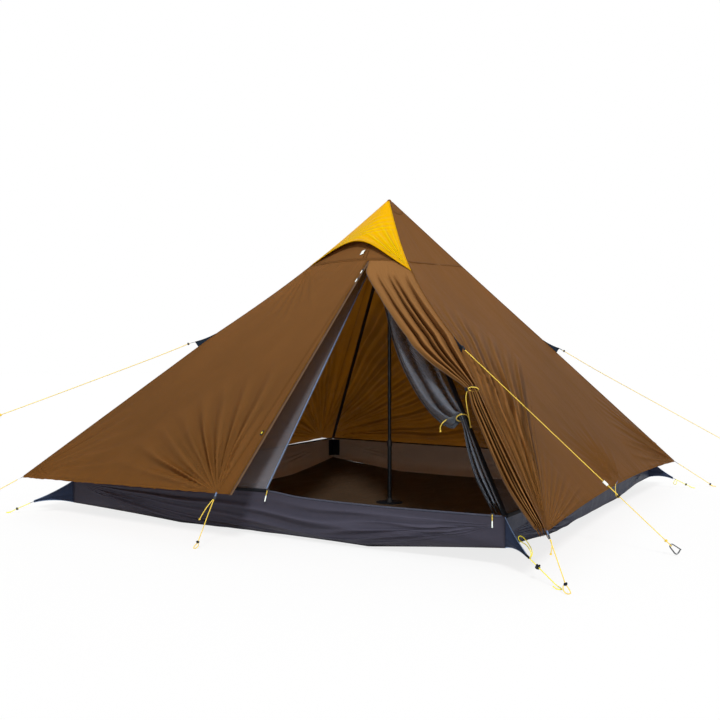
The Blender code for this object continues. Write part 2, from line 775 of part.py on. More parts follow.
def line_lock(name, place, ground, seat, face=None):
    """The buckle at a pegged corner."""
    way = (ground - place).normalized()
    block("line_lock_" + name, place + way * seat, way, face or way.cross(up).cross(way),
          (lock_width, lock_thickness, lock_length), BLACK, lock_edge, 0.4)


def build_fly():
    sheet("fly_left_panel", side_panel("back_left", "front_left"), panel_columns, ridge_rows, cloth, BROWN)
    sheet("fly_back_panel", side_panel("back_right", "back_left"), panel_columns, ridge_rows, cloth, BROWN)
    sheet("fly_right_panel", side_panel("front_right", "back_right"), panel_columns, ridge_rows, cloth, BROWN)
    sheet("fly_front_left_panel", closed_half, front_columns, ridge_rows - seam_row, cloth, BROWN)
    sheet("fly_front_top_panel", front_band(0, 0, 0, seam_side_share), front_columns, seam_row, cloth, BROWN)
    sheet("hood", front_band(hood_lift, hood_bow, hood_arch_share, hood_end_share), hood_columns, seam_row,
          hood_cloth, YELLOW, 0.5)
    sheet("fly_door_gathered", gathered_door, door_folds * fold_columns, ridge_rows - seam_row, door_cloth,
          BROWN)
    sheet("storm_flap", storm_flap, 1, 1, cloth, BROWN)
    cap = bpy.data.meshes.new("apex_cap")
    shape = bmesh.new()
    bmesh.ops.create_cone(shape, cap_ends=True, segments=len(CORNERS), radius1=cap_base_half * sqrt(2),
                          radius2=cap_top_half * sqrt(2), depth=cap_height)
    shape.to_mesh(cap)
    shape.free()
    cap.transform(Matrix.Translation(apex - up * (cap_base_drop - cap_height / 2))
                  @ Matrix.Rotation(pi / len(CORNERS), 4, "Z"))
    add_object("apex_cap", cap, BROWN)
    for name in CORNERS:
        fin(name)
    for name in CORNERS[:-1]:
        line_lock(name, corner_point(name), Vector(FLY_GROUNDS_ROUTE[name]), cloth * LOCK_SEAT_SHARES[name])
    line_lock("door_foot", door_foot, Vector(DOOR_GROUND_ROUTE), lock_width * foot_seat_share, front_out)


cap_base_drop = (apex - ridge_point("back_right", top_share)).z - stitch_gap


def build_inner():
    names = {"inner_left_mesh": ("back_left", "front_left"), "inner_back_mesh": ("back_right", "back_left"),
             "inner_right_mesh": ("front_right", "back_right")}
    for name, (first, second) in names.items():
        sheet(name, net_wall(first, second, 0, 1, net_margin), inner_columns, inner_rows, net, NET_GREY)
    sheet("inner_front_mesh", net_wall("front_left", "front_right", 0, inner_split_share, 0), inner_columns,
          inner_rows, net, NET_GREY)
    sheet("inner_door_gathered", inner_door, inner_folds * fold_columns, len(INNER_ROW_SHARES) - 1,
          door_cloth, NET_GREY)


rim_inset = cloth + cup_rim_clearance
cup_bore = upper_tube_radius + running_gap


def build_tub():
    sheet("tub_left_wall", tub_wall("back_left", "front_left"), tub_columns, tub_rows, tub_cloth, SLATE)
    sheet("tub_back_wall", tub_wall("back_right", "back_left"), tub_columns, tub_rows, tub_cloth, SLATE)
    sheet("tub_right_wall", tub_wall("front_right", "back_right"), tub_columns, tub_rows, tub_cloth, SLATE)
    sheet("tub_front_wall", tub_wall("front_left", "front_right"), tub_columns, tub_rows, tub_cloth, SLATE)
    sheet("tub_floor", floor_surface, 3 * floor_steps, 3 * floor_steps, tub_cloth, SLATE, side=1)
    for name in CORNERS:
        wing(name)
    corner = wall_top("back_right", "back_left", 1)
    beside = level(wall_top("back_right", "back_left", 0) - corner).normalized()
    wall_in = up.cross(beside) if up.cross(beside).dot(inward(corner)) > 0 else beside.cross(up)
    middle = level(corner) + beside * pocket_inset + up * pocket_rise
    depth = tub_cloth + pocket_clearance + pocket_thickness / 2
    block("corner_pocket", middle + wall_in * depth, up, wall_in,
          (pocket_width, pocket_thickness, pocket_height), BLACK, pocket_edge)


def build_pole():
    foot_low = tub_cloth + seam_gap
    tube_low = foot_low + foot_sole + seam_gap
    inside = bottom_tube_radius + seam_gap
    foot_outer = inside + foot_wall
    vent = bottom_tube_radius / 2
    turned("pole_foot", [(foot_outer, foot_low + foot_height), (foot_outer, foot_low), (vent, foot_low),
                         (vent, foot_low + foot_sole), (inside, foot_low + foot_sole),
                         (inside, foot_low + foot_height)], BLACK, roughness=0.7)
    bore = bottom_tube_radius - bottom_tube_wall
    turned("pole_bottom_tube", [(bottom_tube_radius, bottom_tube_top), (bottom_tube_radius, tube_low),
                                (bore, tube_low), (bore, bottom_tube_top)], STEEL, metallic=0.8)
    collar_low = bottom_tube_top - lock_collar_overlap
    collar_top = collar_low + lock_collar_length
    lip = bottom_tube_top + seam_gap
    neck = upper_tube_radius + running_gap
    turned("pole_lock_collar", [(lock_collar_radius, collar_top), (lock_collar_radius, collar_low),
                                (inside, collar_low), (inside, lip), (neck, lip), (neck, collar_top)], BLACK)
    tube("pole_lower_tube", upper_tube_foot, lower_joint_height, True)
    tube("pole_middle_tube", lower_joint_height + seam_gap, middle_joint_height, True)
    tube("pole_top_tube", middle_joint_height + seam_gap, pole_tip, False)
    outer = cup_bore + cup_wall
    cup_low = cup_top_height - cup_depth
    turned("cup_body", [(outer, cup_top_height), (outer, cup_low), (cup_bore, cup_low),
                        (cup_bore, pole_tip + running_gap), (cup_bore / 2, pole_tip + running_gap),
                        (cup_bore / 2, cup_top_height)], BLACK, roughness=0.7)
    seams = square_plate([ridge_at(name, cup_rim_height) for name in CORNERS], rim_inset)
    rim = outline("cup_rim", [seams, circle(cup_bore + cup_wall / 2, round_sides)], cup_rim_thickness,
                  Matrix.Translation(up * (cup_rim_height - cup_rim_thickness / 2)), BLACK)
    unite("pole_cup", bpy.data.objects["cup_body"], rim)


def unite(name, body, added):
    """Join two overlapping solids into one under a new name."""
    bpy.context.view_layer.update()
    graph = bpy.context.evaluated_depsgraph_get()
    mesh = bpy.data.meshes.new_from_object(added.evaluated_get(graph))
    mesh.transform(added.matrix_world)
    welded = bmesh.new()
    welded.from_mesh(mesh)
    bmesh.ops.remove_doubles(welded, verts=welded.verts[:], dist=seam_gap / round_sides)
    welded.to_mesh(mesh)
    welded.free()
    bpy.data.objects.remove(added)
    tool = bpy.data.objects.new(name + "_tool", mesh)
    cutters.objects.link(tool)
    tool.hide_render = True
    tool.display_type = "WIRE"
    join = body.modifiers.new("join", "BOOLEAN")
    join.operation = "UNION"
    join.object = tool
    body.name = name


pole_tip = cup_top_height - cup_wall - running_gap


def tube(name, low, high, sleeve):
    """A pole section; the lower ones end in a wider sleeve for the next."""
    bore = upper_tube_radius - upper_tube_wall
    profile = [(upper_tube_radius, low), (bore, low), (bore, high)]
    if sleeve:
        wide = upper_tube_radius + sleeve_wall
        shoulder = high - sleeve_length
        profile += [(wide, high), (wide, shoulder), (upper_tube_radius, shoulder)]
    else:
        profile.append((upper_tube_radius, high))
    return turned(name, profile, STEEL, metallic=0.8)


def slider(name, place, way, face):
    """A zip slider, centred on a place."""
    start = place - way.normalized() * slider_length / 2
    return block(name, start, way, face, (slider_width, slider_thickness, slider_length), BLACK, slider_edge)


def build_zips():
    zip_way = (zip_point(1) - zip_point(0)).normalized()
    zip_length = (zip_point(1) - zip_point(0)).length
    beside = east * (seam_gap + slider_width / 2)
    behind = -front_out * cloth / 2
    lift = front_out * (slider_thickness / 2 + seam_gap + pull_radius)
    lower_share = upper_slider_share + slider_spacing / zip_length
    for name, share in (("upper", upper_slider_share), ("lower", lower_share)):
        place = zip_point(share) + beside + behind
        slider(f"fly_{name}_slider", place, zip_way, front_out)
        rod(f"fly_{name}_pull", place + lift, zip_way, pull_radius, pull_length, WHITE)
    edge_way = (inner_centre(half_share) - inner_centre(1)).normalized()
    edge_side = edge_way.cross(inner_out).normalized()
    place = inner_centre(side_slider_share) + edge_side * (seam_gap + slider_width / 2)
    place -= inner_out * net / 2
    slider("inner_side_slider", place, edge_way, inner_out)
    hang = place - edge_way * slider_length / 2 + inner_out * slider_thickness / 2
    hang += sill_out * pull_radius
    rod("inner_side_toggle", hang, sill_out * toggle_lean_share - up, pull_radius, toggle_length, WHITE)
    left = wall_top("front_left", "front_right", inner_split_share)
    right = wall_top("front_left", "front_right", 1)
    sill_way = (left - right).normalized()
    sill_place = inner_split_share + (1 - inner_split_share) * sill_slider_share
    sill = wall_top("front_left", "front_right", sill_place)
    rise = up * (seam_gap + slider_width / 2 + sill_clearance)
    place = sill + rise - sill_out * tub_cloth / 2
    slider("inner_sill_slider", place, sill_way, sill_out)
    hang = place + sill_out * (slider_thickness / 2 + seam_gap + pull_radius)
    rod("inner_sill_toggle", hang, -up, pull_radius, toggle_length, WHITE)


inner_out = (inner_ridge("front_left", 1) - inner_apex).cross(inner_ridge("front_right", 1) - inner_apex)
inner_out = inner_out.normalized() if inner_out.y < 0 else -inner_out.normalized()
sill_out = -inward(inner_centre(1))
sill_clearance = 0.0004


# The carabiner hangs in the upright plane that faces the door's right side
link_side = Vector((0.8596, 0.5110, 0)).normalized()
link_fall_share = 0.643
link_along = link_side * sqrt(1 - link_fall_share ** 2) - up * link_fall_share
link_across = link_side * link_fall_share + up * sqrt(1 - link_fall_share ** 2)
guy_end = Vector(GUY_FRONT_RIGHT_ROUTE[-1])
guy_start = Vector(GUY_FRONT_RIGHT_ROUTE[0])
guy_way = (guy_end - guy_start).normalized()
link_top = guy_end + guy_way * (link_rod / 2 + seam_gap)
# Shares of link_length and link_width, from the gate's hinge round to its nose
LINK_SHARES = ((0.945, 0.34), (0.985, 0.10), (1.0, -0.18), (0.94, -0.40), (0.78, -0.475), (0.44, -0.37),
               (0.13, -0.27), (0.012, -0.175), (0.0, 0.0), (0.010, 0.17), (0.085, 0.265))
nose_share = 0.285
gate_end_share = 0.132


def link_point(lengthwise, sideways):
    return link_top + link_along * lengthwise * link_length + link_across * sideways * link_width


def build_carabiner():
    cord("carabiner_body", [link_point(*place) for place in LINK_SHARES], link_rod, 26, STEEL, 0.8)
    hinge_share, hinge_side = LINK_SHARES[0]
    rise = (gate_gap + gate_rod / 2) / link_width
    start = link_point(hinge_share + link_rod / 2 / link_length, hinge_side + rise)
    end = link_point(gate_end_share, nose_share)
    way = (end - start).normalized()
    gate = bpy.data.meshes.new("carabiner_gate")
    shape = bmesh.new()
    bmesh.ops.create_cone(shape, cap_ends=True, segments=small_sides, radius1=gate_rod / 2,
                          radius2=gate_rod / 2, depth=(end - start).length)
    shape.to_mesh(gate)
    shape.free()
    gate.transform(along(start, way, link_across) @ Matrix.Translation(up * (end - start).length / 2))
    add_object("carabiner_gate", gate, STEEL, 0.35, 0.9)


def build_runner():
    middle = guy_start.lerp(guy_end, runner_share)
    outer, bore, long = runner_radius, cord_diameter / 2 + running_gap, runner_length / 2
    turn = along(middle, guy_way, up)
    turned("guy_runner", [(outer, long), (outer, -long), (bore, -long), (bore, long)], WHITE, turn,
           small_sides)


def build_cords():
    cord("guy_front_right", [GUY_FRONT_RIGHT_ROUTE[0], GUY_FRONT_RIGHT_ROUTE[-1]], cord_diameter, 4)
    cord("guy_front_left", GUY_FRONT_LEFT_ROUTE, cord_diameter, 34)
    cord("guy_back_right", GUY_BACK_RIGHT_ROUTE, cord_diameter, 40)
    cord("peg_cord_front_left", PEG_FRONT_LEFT_ROUTE, cord_diameter, 20)
    cord("peg_cord_door_foot", PEG_DOOR_FOOT_ROUTE, cord_diameter, 20)
    cord("peg_cord_front_right", PEG_FRONT_RIGHT_ROUTE, cord_diameter, 18)
    cord("peg_cord_back_right", PEG_BACK_RIGHT_ROUTE, cord_diameter, 20)
    cord("tub_cord_front_left", TUB_FRONT_LEFT_ROUTE, cord_diameter, 16)
    cord("tub_cord_front_right", TUB_FRONT_RIGHT_ROUTE, cord_diameter, 16)
    cord("tub_cord_back_right", TUB_BACK_RIGHT_ROUTE, cord_diameter, 16)


build_fly()
build_inner()
build_tub()
build_pole()
build_zips()
build_carabiner()
build_runner()
build_cords()
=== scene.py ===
"""Pyramid tent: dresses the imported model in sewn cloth, net, cords and hard finishes.

Metres, +Z up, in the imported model's own frame. The door faces -Y.
"""
from math import atan2, cos, exp, pi, radians, sin, sqrt

import bmesh
import bpy
from mathutils import Matrix, Vector, noise


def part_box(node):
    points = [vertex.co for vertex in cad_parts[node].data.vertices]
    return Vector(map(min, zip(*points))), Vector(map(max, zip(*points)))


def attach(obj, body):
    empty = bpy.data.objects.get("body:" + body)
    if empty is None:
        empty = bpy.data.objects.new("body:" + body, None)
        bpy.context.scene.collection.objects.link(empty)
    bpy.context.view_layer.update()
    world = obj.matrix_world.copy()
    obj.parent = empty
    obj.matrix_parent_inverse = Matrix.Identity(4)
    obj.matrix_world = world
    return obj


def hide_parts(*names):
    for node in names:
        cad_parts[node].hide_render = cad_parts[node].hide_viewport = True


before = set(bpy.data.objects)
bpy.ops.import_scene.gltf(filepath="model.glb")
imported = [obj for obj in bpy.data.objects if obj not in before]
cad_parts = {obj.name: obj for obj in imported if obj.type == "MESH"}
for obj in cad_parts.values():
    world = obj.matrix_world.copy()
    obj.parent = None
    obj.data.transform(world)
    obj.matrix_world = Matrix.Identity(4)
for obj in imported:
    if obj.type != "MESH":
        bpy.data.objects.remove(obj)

bl_info = {
    "name": "Pyramid tent",
    "version": (1, 0, 0),
    "blender": (4, 5, 0),
    "location": "3D View > Sidebar > Tent",
    "description": "Dresses a packed pyramid tent in cloth, net, cords and hard finishes",
    "category": "Object",
}

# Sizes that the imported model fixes
apex_height = 1.8
fly_side = 2.88
hem_height = 0.2
cloth = 0.002
seam_gap = 0.0003
stitch_gap = 0.0007
panel_belly = 0.018
hood_bow = 0.028
hood_lift = 0.0027
flap_width = 0.074
flap_top_width = 0.004
fin_reach = 0.122
fin_stand = 0.033
fin_tail = 0.026
cap_base_half = 0.012
cap_top_half = 0.0065
cap_height = 0.0115
inner_drop = 0.18
net = 0.0015
tub_setback = 0.19
tub_cloth = 0.002
tub_wall_top = 0.2
tub_corner_lift = 0.075
tub_dip = 0.006
floor_bow = 0.125
wing_reach = 0.18
wing_tip_height = 0.075
wing_tail = 0.02
cord_diameter = 0.004
slider_width = 0.009

CORNERS = ("front_left", "front_right", "back_right", "back_left")
CORNER_SHARES = {
    "front_left": (-0.53, -0.4725, 1.01),
    "front_right": (0.484, -0.465, 1.035),
    "back_right": (0.465, 0.523, 0.85),
    "back_left": (-0.521, 0.5285, 1.0),
}
DOOR_FOOT_SHARES = (-0.023, -0.505, 1.22)
SAG_SHARES = {
    "front_left": (0.019, 0.011, 0.0),
    "front_right": (0.03, 0.006, 0.02),
    "back_right": (0.002, 0.0, 0.0),
    "back_left": (0.016, 0.008, 0.0),
}
TUB_SHARES = {
    "front_left": (-0.528, -0.4755, 0.78, 0.905),
    "front_right": (0.4664, -0.464, 1.16, 1.05),
    "back_right": (0.4788, 0.5496, 0.96, 0.975),
    "back_left": (-0.522, 0.557, 0.8, 1.06),
}
WING_SHARES = {"front_left": (1.217, 0.84), "front_right": (0.7, 1.13), "back_right": (0.872, 0.89),
               "back_left": (1.0, 1.0)}
SILL_SHARES = ((0.0, 0.905), (0.529, 1.105), (0.605, 1.03), (0.755, 1.005), (0.92, 1.03), (1.0, 1.05))
FIN_SHARES = {"front_left": 0.495, "front_right": 0.531, "back_right": 0.51, "back_left": 0.5}
FIN_TAIL_SHARES = {"front_left": 0.7, "front_right": 0.88, "back_right": 0.8, "back_left": 0.75}
DOOR_OPEN_SHARES = ((0.2333, 0.285), (0.275, 0.285), (0.299, 0.333), (0.32, 0.389), (0.361, 0.485),
                    (0.407, 0.558), (0.448, 0.614), (0.487, 0.655), (0.523, 0.69), (0.559, 0.726),
                    (0.61, 0.806), (0.646, 0.878), (0.684, 0.942), (0.735, 0.936), (0.7815, 0.936),
                    (0.866, 0.937), (0.929, 0.944), (1.0, 0.97))
INNER_ROW_SHARES = ((0.03, 0.03, 0.02), (0.12, 0.13, 0.08), (0.2, 0.21, 0.22), (0.28, 0.29, 0.385),
                    (0.35, 0.37, 0.5), (0.44, 0.47, 0.578), (0.52, 0.56, 0.645), (0.58, 0.625, 0.7),
                    (0.64, 0.69, 0.76), (0.68, 0.735, 0.82), (0.712, 0.762, 0.898), (0.737, 0.743, 0.962),
                    (0.78, 0.785, 0.965), (0.84, 0.845, 0.944), (0.9, 0.905, 0.9375), (0.95, 0.95, 0.948),
                    (0.985, 0.985, 0.958))
top_share = 0.009
seam_side_share = 0.2333
fin_span_share = 0.05
seam_centre_share = 0.262
hood_arch_share = 0.27
hood_end_share = 0.271
hem_rise_share = 0.018
inner_top_share = 0.024
door_split_share = 0.64
inner_split_share = 0.529
lift_start_share = 0.45
tie_share = 0.684
inner_tie_share = 0.74
miter_share = 1.08
ridge_rows = 18
fin_row = 9
seam_row = 4

up = Vector((0, 0, 1))
east = Vector((1, 0, 0))
front_out = Vector((0, -0.73, 0.68)).normalized()
front_down = Vector((0, -0.68, -0.73)).normalized()
apex = up * apex_height
inner_apex = up * (apex_height - inner_drop)
tub_side = fly_side - 2 * tub_setback

# Cord routes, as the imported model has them
ROUTES = {
    "guy_front_right": ((0.8406, -0.8061, 0.8774), (1.676, -0.5715, 0.0479)),
    "guy_front_left": ((-0.8624, -0.7689, 0.9347), (-1.0, -0.891, 0.858), (-1.22, -1.088, 0.742),
                       (-1.44, -1.285, 0.627), (-1.61, -1.437, 0.54), (-1.65, -1.473, 0.522),
                       (-1.676, -1.486, 0.516), (-1.69, -1.505, 0.5), (-1.676, -1.507, 0.494),
                       (-1.654, -1.486, 0.506)),
    "guy_back_right": ((0.7761, 0.8729, 0.9062), (0.95, 1.067, 0.773), (1.18, 1.326, 0.606),
                       (1.42, 1.596, 0.433), (1.6, 1.798, 0.303), (1.636, 1.839, 0.277),
                       (1.656, 1.856, 0.27), (1.672, 1.882, 0.25), (1.66, 1.88, 0.244),
                       (1.64, 1.856, 0.26)),
    "peg_cord_front_left": ((-1.543, -1.3759, 0.1894), (-1.6, -1.428, 0.1465), (-1.66, -1.482, 0.101),
                            (-1.72, -1.536, 0.056), (-1.765, -1.577, 0.022), (-1.783, -1.59, 0.008),
                            (-1.8, -1.598, 0.0025), (-1.806, -1.612, 0.0022), (-1.792, -1.612, 0.0025),
                            (-1.772, -1.592, 0.007)),
    "peg_cord_door_foot": ((-0.0762, -1.4588, 0.2158), (-0.098, -1.469, 0.154), (-0.118, -1.477, 0.096),
                           (-0.134, -1.484, 0.05), (-0.142, -1.488, 0.028), (-0.156, -1.49, 0.012),
                           (-0.16, -1.497, 0.0024), (-0.144, -1.5, 0.0024), (-0.134, -1.494, 0.012),
                           (-0.136, -1.4925, 0.024)),
    "peg_cord_front_right": ((1.4044, -1.3413, 0.1809), (1.424, -1.346, 0.132), (1.44, -1.3495, 0.092),
                             (1.455, -1.3525, 0.054), (1.464, -1.3545, 0.032), (1.478, -1.355, 0.014),
                             (1.484, -1.361, 0.0024), (1.47, -1.366, 0.0024), (1.458, -1.362, 0.012),
                             (1.457, -1.359, 0.027)),
    "peg_cord_back_right": ((1.357, 1.5188, 0.1562), (1.4, 1.549, 0.123), (1.45, 1.584, 0.084),
                            (1.5, 1.62, 0.045), (1.535, 1.645, 0.018), (1.551, 1.652, 0.006),
                            (1.566, 1.66, 0.0024), (1.564, 1.674, 0.0022), (1.548, 1.668, 0.0024),
                            (1.532, 1.652, 0.0095)),
    "tub_cord_front_left": ((-1.5284, -1.3041, 0.0546), (-1.56, -1.3217, 0.0387), (-1.592, -1.3394, 0.0226),
                            (-1.61, -1.348, 0.0133), (-1.622, -1.352, 0.0065), (-1.638, -1.357, 0.0024),
                            (-1.648, -1.366, 0.0022), (-1.634, -1.372, 0.0024), (-1.614, -1.364, 0.0045)),
    "tub_cord_front_right": ((1.2909, -1.2337, 0.0762), (1.33, -1.2569, 0.0556), (1.37, -1.2805, 0.0345),
                             (1.398, -1.2968, 0.0199), (1.41, -1.302, 0.0122), (1.43, -1.309, 0.004),
                             (1.44, -1.32, 0.0022), (1.424, -1.327, 0.0024), (1.406, -1.319, 0.009)),
    "tub_cord_back_right": ((1.3507, 1.4591, 0.0573), (1.38, 1.4754, 0.0409), (1.408, 1.4909, 0.0249),
                            (1.426, 1.5, 0.015), (1.438, 1.5045, 0.008), (1.454, 1.511, 0.0024),
                            (1.46, 1.521, 0.0022), (1.446, 1.524, 0.0024), (1.428, 1.5165, 0.007)),
}
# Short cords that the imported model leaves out
TAILS = {
    "door_foot_tail": ((-0.0762, -1.464, 0.217), (-0.096, -1.474, 0.19), (-0.117, -1.481, 0.158),
                       (-0.135, -1.485, 0.128)),
    "front_right_tail": ((1.4085, -1.344, 0.18), (1.413, -1.3475, 0.163), (1.412, -1.348, 0.145),
                         (1.408, -1.345, 0.129)),
    "fly_tie_tail": ((0.907, -0.932, 0.7), (0.901, -0.936, 0.672), (0.903, -0.932, 0.632),
                     (0.909, -0.925, 0.585), (0.916, -0.92, 0.538)),
    "inner_tie_tail": ((0.835, -0.862, 0.58), (0.823, -0.866, 0.577), (0.796, -0.88, 0.571),
                       (0.772, -0.893, 0.553), (0.76, -0.9, 0.53), (0.762, -0.902, 0.512)),
    "side_tie_cord": ((1.344, -0.126, 0.223), (1.372, -0.25, 0.2205), (1.41, -0.4, 0.222),
                      (1.444, -0.53, 0.227), (1.4755, -0.62, 0.238)),
}
# Where the tub's corner cords meet the ground
TUB_GROUNDS = {
    "front_left": (-1.633, -1.362, 0.002),
    "front_right": (1.432, -1.317, 0.002),
    "back_right": (1.448, 1.513, 0.002),
    "back_left": (-1.56, 1.64, 0.002),
}

PANEL_ENDS = {"left": ("back_left", "front_left"), "back": ("back_right", "back_left"),
              "right": ("front_right", "back_right")}
TUB_SIDES = {"front_left": "front", "front_right": "right", "back_right": "back", "back_left": "left"}
frame_pixels = 720
fine_cord = 0.0036


def length_property(name, description, default, least=0.0):
    return bpy.props.FloatProperty(name=name, description=description, default=default, min=least, unit="LENGTH")


def colour_property(name, description, default):
    return bpy.props.FloatVectorProperty(name=name, description=description, subtype="COLOR", size=3,
                                         default=default, min=0, max=1)


class TentSizes(bpy.types.PropertyGroup):
    fold_depth: length_property("Fold depth", "How deep the folds drawn by a pegged corner are", 0.022)
    crinkle_depth: length_property("Crinkle depth", "How far slack cloth stands out of its plane", 0.0035)
    pucker_depth: length_property("Hem pucker", "How far a hem's stitching draws the cloth up", 0.004)
    hem_width: length_property("Hem width", "Width of the turned hem", 0.016)
    seam_width: length_property("Seam width", "Width of the felled seam on a ridge", 0.014)
    stitch_length: length_property("Stitch length", "Length of one stitch and its gap", 0.004, 0.001)
    binding_width: length_property("Binding width", "Width of the tape over the inner tent's seams", 0.016)
    door_pleats: bpy.props.IntProperty(
        name="Door pleats", description="Pleats in the tied-back door", default=5, min=2)
    inner_pleats: bpy.props.IntProperty(
        name="Inner door pleats", description="Pleats in the tied-back net door", default=3, min=2)


class TentColours(bpy.types.PropertyGroup):
    fly: colour_property("Fly", "The outer tent's cloth", (0.222, 0.107, 0.036))
    glow: colour_property("Glow", "Daylight through the fly", (0.86, 0.5, 0.022))
    hood: colour_property("Hood", "The vent hood's cloth", (0.8, 0.42, 0.0))
    tub: colour_property("Tub", "The tub's coated cloth", (0.045, 0.044, 0.062))
    # Painted shade: a darker, bluer copy of the tub cloth for the shaded right wall and the wings.
    tub_side: colour_property("Tub side", "The tub cloth of the right wall and the wings", (0.024, 0.034, 0.066))
    tub_glow: colour_property("Tub glow", "Daylight through the tub's cloth", (0.46, 0.31, 0.2))
    # Painted light: the lining is made pale to stand in for daylight that falls inside the tub.
    lining: colour_property("Tub lining", "The tub cloth's inner face", (0.55, 0.47, 0.4))
    floor: colour_property("Tub floor", "The tub floor's inside", (0.07, 0.046, 0.028))
    net: colour_property("Net", "The inner tent's net", (0.15, 0.15, 0.17))
    # Painted light: a lighter, bluer copy of the net colour for the gathered net and the vent window.
    gathered_net: colour_property("Gathered net", "The net where it lies in folds", (0.135, 0.155, 0.185))
    edging: colour_property("Edging", "Pale tape on net and tub edges", (0.16, 0.23, 0.38))
    sill: colour_property("Sill", "The tape on the door's sill", (0.06, 0.064, 0.09))
    cord: colour_property("Cord", "The fly's guy cord", (0.83, 0.6, 0.085))
    tub_cord: colour_property("Tub cord", "The tub's corner cord", (0.92, 0.8, 0.045))
    webbing: colour_property("Webbing", "Black webbing and binding", (0.012, 0.014, 0.02))
    fin: colour_property("Fin", "The ridge fins' laminate", (0.006, 0.014, 0.026))
    plastic: colour_property("Buckle plastic", "Locks, sliders and pole ends", (0.014, 0.014, 0.016))
    pull: colour_property("Pull", "Zip pulls", (0.8, 0.86, 0.8))
    pole: colour_property("Pole", "Anodised pole tube", (0.018, 0.021, 0.025))
    steel: colour_property("Carabiner", "The guy's carabiner", (0.2, 0.21, 0.22))
    ground: colour_property("Ground", "The studio floor", (0.93, 0.93, 0.93))


def arithmetic(operation, swapped=False):
    """A Python operator that adds one Math node."""
    def method(self, other):
        return self.join(operation, other, self) if swapped else self.join(operation, self, other)
    return method


class Socket:
    """A shader output that takes part in sums, so that a material reads as a formula."""
    __add__ = __radd__ = arithmetic("ADD")
    __mul__ = __rmul__ = arithmetic("MULTIPLY")
    __sub__, __rsub__ = arithmetic("SUBTRACT"), arithmetic("SUBTRACT", True)
    __truediv__, __pow__ = arithmetic("DIVIDE"), arithmetic("POWER")
    __lt__, __gt__ = arithmetic("LESS_THAN"), arithmetic("GREATER_THAN")

    def __init__(self, shader, output):
        self.shader = shader
        self.output = output

    def join(self, operation, first, second):
        return self.shader.node("ShaderNodeMath", {"operation": operation}, {0: first, 1: second})[0]

    def held(self):
        """The value, kept between zero and one."""
        return self.shader.node("ShaderNodeClamp", None, {0: self})[0]

    def only(self, operation):
        return self.shader.node("ShaderNodeMath", {"operation": operation}, {0: self})[0]


class Shader:
    """A material that is being written, with one method for every kind of node."""

    def __init__(self, name):
        self.material = bpy.data.materials.new(name)
        self.material.use_nodes = True
        self.tree = self.material.node_tree
        self.tree.nodes.clear()

    def node(self, kind, settings=None, sockets=None):
        """Add a node: its settings first, then the values or links of its sockets. Returns its outputs."""
        made = self.tree.nodes.new(kind)
        for name, value in (settings or {}).items():
            setattr(made, name, value)
        for name, value in (sockets or {}).items():
            if isinstance(value, Socket):
                self.tree.links.new(value.output, made.inputs[name])
            elif made.inputs[name].type == "RGBA":
                made.inputs[name].default_value = (*value, 1)
            else:
                made.inputs[name].default_value = value
        return [Socket(self, output) for output in made.outputs]

    def mix(self, factor, first, second):
        """A colour between two colours."""
        return self.node("ShaderNodeMix", {"data_type": "RGBA"}, {0: factor, 6: first, 7: second})[2]

    def scale(self, vector, factors):
        return self.node("ShaderNodeVectorMath", {"operation": "MULTIPLY"}, {0: vector, 1: factors})[0]

    def dot(self, vector, way):
        return self.node("ShaderNodeVectorMath", {"operation": "DOT_PRODUCT"}, {0: vector, 1: way})[1]

    def parts(self, vector):
        return self.node("ShaderNodeSeparateXYZ", None, {0: vector})

    def noise(self, vector, scale, detail=2.0, roughness=0.5, distortion=0.0):
        return self.node("ShaderNodeTexNoise", None, {
            "Vector": vector, "Scale": scale, "Detail": detail, "Roughness": roughness,
            "Distortion": distortion})[0]

    def object_place(self):
        return self.node("ShaderNodeTexCoord")[3]

    def cloth_place(self):
        """The place on the flat cloth, in metres."""
        return self.node("ShaderNodeUVMap", {"uv_map": "cloth"})[0]

    def bump(self, height):
        """Bump of a height in metres."""
        return self.node("ShaderNodeBump", None, {"Height": height, "Strength": 1.0, "Distance": 1.0})[0]

    def surface(self, constants, colour, roughness, normal=None, **more):
        """The Principled shader: what varies comes by link, and the rest is set on its sockets."""
        sockets = {"Base Color": colour, "Roughness": roughness, **constants}
        if normal is not None:
            sockets["Normal"] = normal
        sockets.update({name.replace("_", " "): value for name, value in more.items()})
        return self.node("ShaderNodeBsdfPrincipled", None, sockets)[0]

    def finish(self, shader):
        self.node("ShaderNodeOutputMaterial", None, {"Surface": shader})
        return self.material


def shade(colour, factor):
    """A colour made lighter or darker."""
    return tuple(min(1.0, part * factor) for part in colour)


def thread_bump(shader, place, pitch, height):
    """The over and under of a plain weave."""
    x, y, _ = shader.parts(place)
    return ((x * (2 * pi / pitch)).only("SINE") * (y * (2 * pi / pitch)).only("SINE")) * height


def stitch_row(shader, distance, along, place, pitch):
    """A mask of stitches in a row that keeps one distance from an edge."""
    row = (distance - place).only("ABSOLUTE") < 0.0007
    gap = (along / pitch).only("FRACT") < 0.62
    return row * gap


